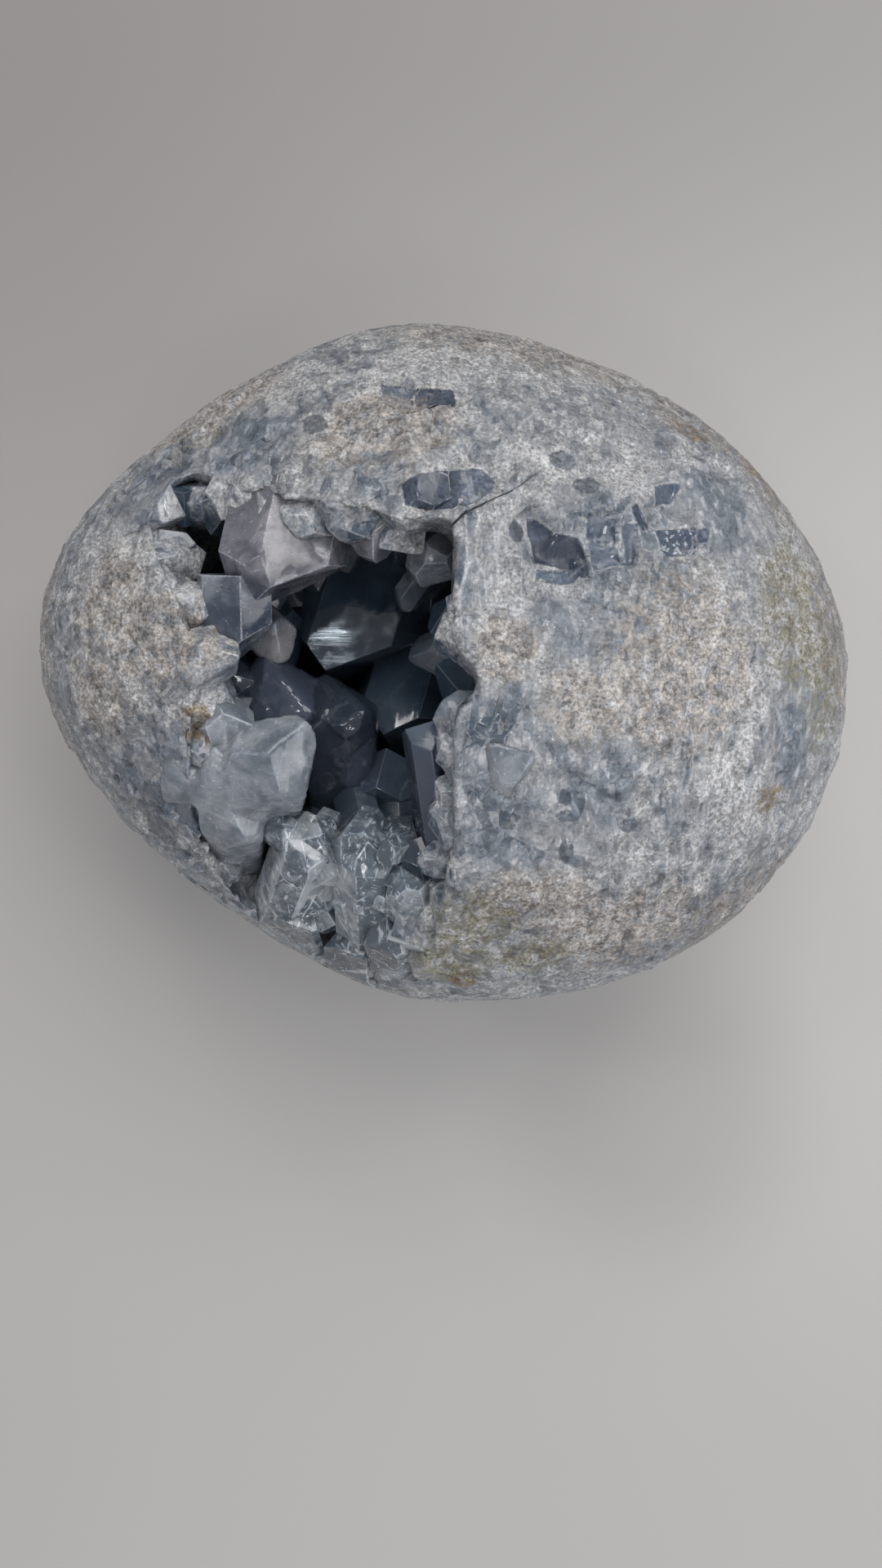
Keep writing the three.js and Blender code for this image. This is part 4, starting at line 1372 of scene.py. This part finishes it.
class GEODE_OT_spray_crystals(bpy.types.Operator):
    """Grow the fractured clear crystals at the front"""

    bl_idname = "geode.spray_crystals"
    bl_label = "Spray Crystals"

    def execute(self, context):
        settings = context.scene.geode_crystals
        forms = SPRAY_CRYSTALS | spray_forms(settings.spray_count)
        spray = grow("spray_crystals", forms, spray_material(settings))
        sheets = fracture_sheets(settings.sheet_count, spray)
        hand_over(sheets, fracture_material())
        return {"FINISHED"}


class GEODE_OT_druse(bpy.types.Operator):
    """Line the rest of the hollow's wall with small crystals"""

    bl_idname = "geode.druse"
    bl_label = "Druse"

    def execute(self, context):
        settings = context.scene.geode_crystals
        grow("druse", druse_forms(settings.druse_count), druse_material(settings))
        return {"FINISHED"}


class GEODE_OT_rim_crystals(bpy.types.Operator):
    """Break the stone's edge around the hollow into blocky crystals"""

    bl_idname = "geode.rim_crystals"
    bl_label = "Rim Crystals"

    def execute(self, context):
        settings = context.scene.geode_crystals
        material = stone_material(context.scene.geode_stone, "celestite_rim", clarity=0.16, gloss=0.22)
        forms = rim_forms(settings.rim_count) | band_forms(settings.band_count)
        rim = grow("rim_crystals", forms, material)
        lay_patches(rim)
        return {"FINISHED"}


# ---- the stage ---------------------------------------------------------------------------------------------

FRAME_SIZE = (1080, 1920)
SENSOR = 36.0
STONE_AT = (547, 808)  # where the middle of the stone lies in the frame, in pixels
STONE_MIDDLE = (0.0, 0.0, 42.0)

FLOOR_SIZE = 6.0  # metres
NEAREST_SEEN = 0.01  # metres
SPARK_LIMIT = 4.0  # of light that comes by a detour, so that single pixels don't flare
ROOM_TONE = (0.95, 0.96, 1.0, 1.0)
ROOM_STRENGTH = 0.39

# Square lights, each with its place and size in metres, its watts and its colour
LIGHTS = (
    ("window", (0.35, 1.15, 1.65), 1.3, 15.8, (1.0, 0.985, 0.965)),
    ("room", (0.6, -0.3, 0.5), 0.5, 1.6, (1.0, 1.0, 1.0)),
    ("skylight", (-0.035, 0.274, 1.13), 0.05, 0.16, (0.8, 0.92, 1.0)),
)
LIGHTS_AIM = Vector((0, 0, 0.04))

# Small lights that only show as glints on the crystals' faces
GLINT_SPOTS = [(-0.6, 0.25, 0.9), (0.35, 0.1, 1.1), (0.0, -0.5, 1.0), (-0.25, 0.8, 0.8), (0.7, 0.5, 0.7)]
GLINT_SIZE = 0.14
GLINT_POWER = 0.5


def aim_camera(camera, settings):
    """Looks down at the stone, which lies above the middle of the frame."""
    middle = place(STONE_MIDDLE)
    tilt = settings.elevation
    camera.location = middle + settings.distance * Vector((0, -math.cos(tilt), math.sin(tilt)))
    pixels = settings.lens / SENSOR * FRAME_SIZE[1]
    down = math.atan((FRAME_SIZE[1] / 2 - STONE_AT[1]) / pixels)
    left = math.atan((STONE_AT[0] - FRAME_SIZE[0] / 2) / pixels)
    look = Matrix.Rotation(math.pi / 2 - tilt - down, 4, "X") @ Matrix.Rotation(left, 4, "Y")
    camera.rotation_euler = look.to_euler()


def soft_light(name, location, size, power, tone=(1.0, 1.0, 1.0)):
    """Adds a square light that faces the stone."""
    bpy.ops.object.light_add(type="AREA", location=location)
    light = bpy.context.object
    light.name = name
    light.data.size = size
    light.data.energy = power
    light.data.color = tone
    light.rotation_euler = (LIGHTS_AIM - Vector(location)).to_track_quat("-Z", "Y").to_euler()


def floor_material(settings):
    """A plain floor with painted light and shade, and a painted shadow in front of the stone, to its right.
    """
    s = Shader("plain_floor")
    # Painted light: lighter towards the front right
    across = s.vector("DOT_PRODUCT", s.place, (0.75, -0.66, 0))
    tone = s.blend(s.ramp(across, -150.0, 90.0), (0.43, 0.41, 0.395), tuple(settings.floor_tone))
    y = s.node("ShaderNodeSeparateXYZ", Vector=s.place).outputs["Y"]
    # Painted shade: darker towards the back, and a little towards the front
    tone = s.blend(1.0, tone, s.ramp(y, 15.0, 120.0, 1.0, 0.74), "MULTIPLY")
    tone = s.blend(1.0, tone, s.ramp(y, -140.0, -60.0, 0.85, 0.94), "MULTIPLY")
    # Painted shadow: a soft dark patch on the floor in front of the stone
    tone = s.blend(s.math("MULTIPLY", s.patch((37, -75, 0), 38.0), 0.25), tone, (0.24, 0.23, 0.225))
    return s.finish(Base_Color=tone, Roughness=0.55)


class GEODE_OT_stage(bpy.types.Operator):
    """Set the floor, the light and the camera"""

    bl_idname = "geode.stage"
    bl_label = "Stage"

    def execute(self, context):
        settings = context.scene.geode_stage
        bpy.ops.object.select_all(action="DESELECT")
        bpy.ops.mesh.primitive_plane_add(size=FLOOR_SIZE, location=(0, 0, GROUND))
        floor = context.object
        floor.name = "floor"
        settle(floor)
        floor.data.materials.append(floor_material(settings))
        for light in LIGHTS:
            soft_light(*light)
        for index, spot in enumerate(GLINT_SPOTS):
            soft_light(f"glint_{index}", spot, GLINT_SIZE, GLINT_POWER)
        world = context.scene.world or bpy.data.worlds.new("room")
        context.scene.world = world
        world.use_nodes = True
        background = world.node_tree.nodes["Background"]
        background.inputs["Color"].default_value = ROOM_TONE
        background.inputs["Strength"].default_value = ROOM_STRENGTH
        bpy.ops.object.camera_add()
        camera = context.object
        camera.name = "camera"
        camera.data.sensor_width = SENSOR
        camera.data.lens = settings.lens
        camera.data.clip_start = NEAREST_SEEN
        aim_camera(camera, settings)
        context.scene.camera = camera
        context.scene.view_settings.view_transform = "Standard"
        context.scene.cycles.sample_clamp_indirect = SPARK_LIMIT
        return {"FINISHED"}


# ---- the add-on --------------------------------------------------------------------------------------------


class GEODE_PT_panel(bpy.types.Panel):
    """Lists the geode's pieces and their settings"""

    bl_idname = "GEODE_PT_panel"
    bl_label = "Celestite Geode"
    bl_space_type = "VIEW_3D"
    bl_region_type = "UI"
    bl_category = "Geode"

    def draw(self, context):
        for settings, operators in PANEL_ROWS:
            box = self.layout.box()
            group = getattr(context.scene, settings)
            for name in group.bl_rna.properties.keys():
                if name not in ("rna_type", "name"):
                    box.prop(group, name)
            for operator in operators:
                box.operator(operator)


PANEL_ROWS = (
    ("geode_stone", ("geode.stone",)),
    (
        "geode_crystals",
        (
            "geode.dusk_crystals", "geode.frost_crystals", "geode.spray_crystals", "geode.druse",
            "geode.rim_crystals",
        ),
    ),
    ("geode_stage", ("geode.stage",)),
)
SETTINGS = {"geode_stone": StoneSettings, "geode_crystals": CrystalSettings, "geode_stage": StageSettings}
CLASSES = (
    *SETTINGS.values(),
    GEODE_OT_stone,
    GEODE_OT_dusk_crystals,
    GEODE_OT_frost_crystals,
    GEODE_OT_spray_crystals,
    GEODE_OT_druse,
    GEODE_OT_rim_crystals,
    GEODE_OT_stage,
    GEODE_PT_panel,
)


def register():
    for cls in CLASSES:
        bpy.utils.register_class(cls)
    for name, group in SETTINGS.items():
        setattr(bpy.types.Scene, name, PointerProperty(type=group))


def unregister():
    for name in SETTINGS:
        delattr(bpy.types.Scene, name)
    for cls in reversed(CLASSES):
        bpy.utils.unregister_class(cls)


def main():
    register()
    bpy.ops.geode.stone()
    bpy.ops.geode.dusk_crystals()
    bpy.ops.geode.frost_crystals()
    bpy.ops.geode.spray_crystals()
    bpy.ops.geode.druse()
    bpy.ops.geode.rim_crystals()
    bpy.ops.geode.stage()


if __name__ == "__main__":
    main()
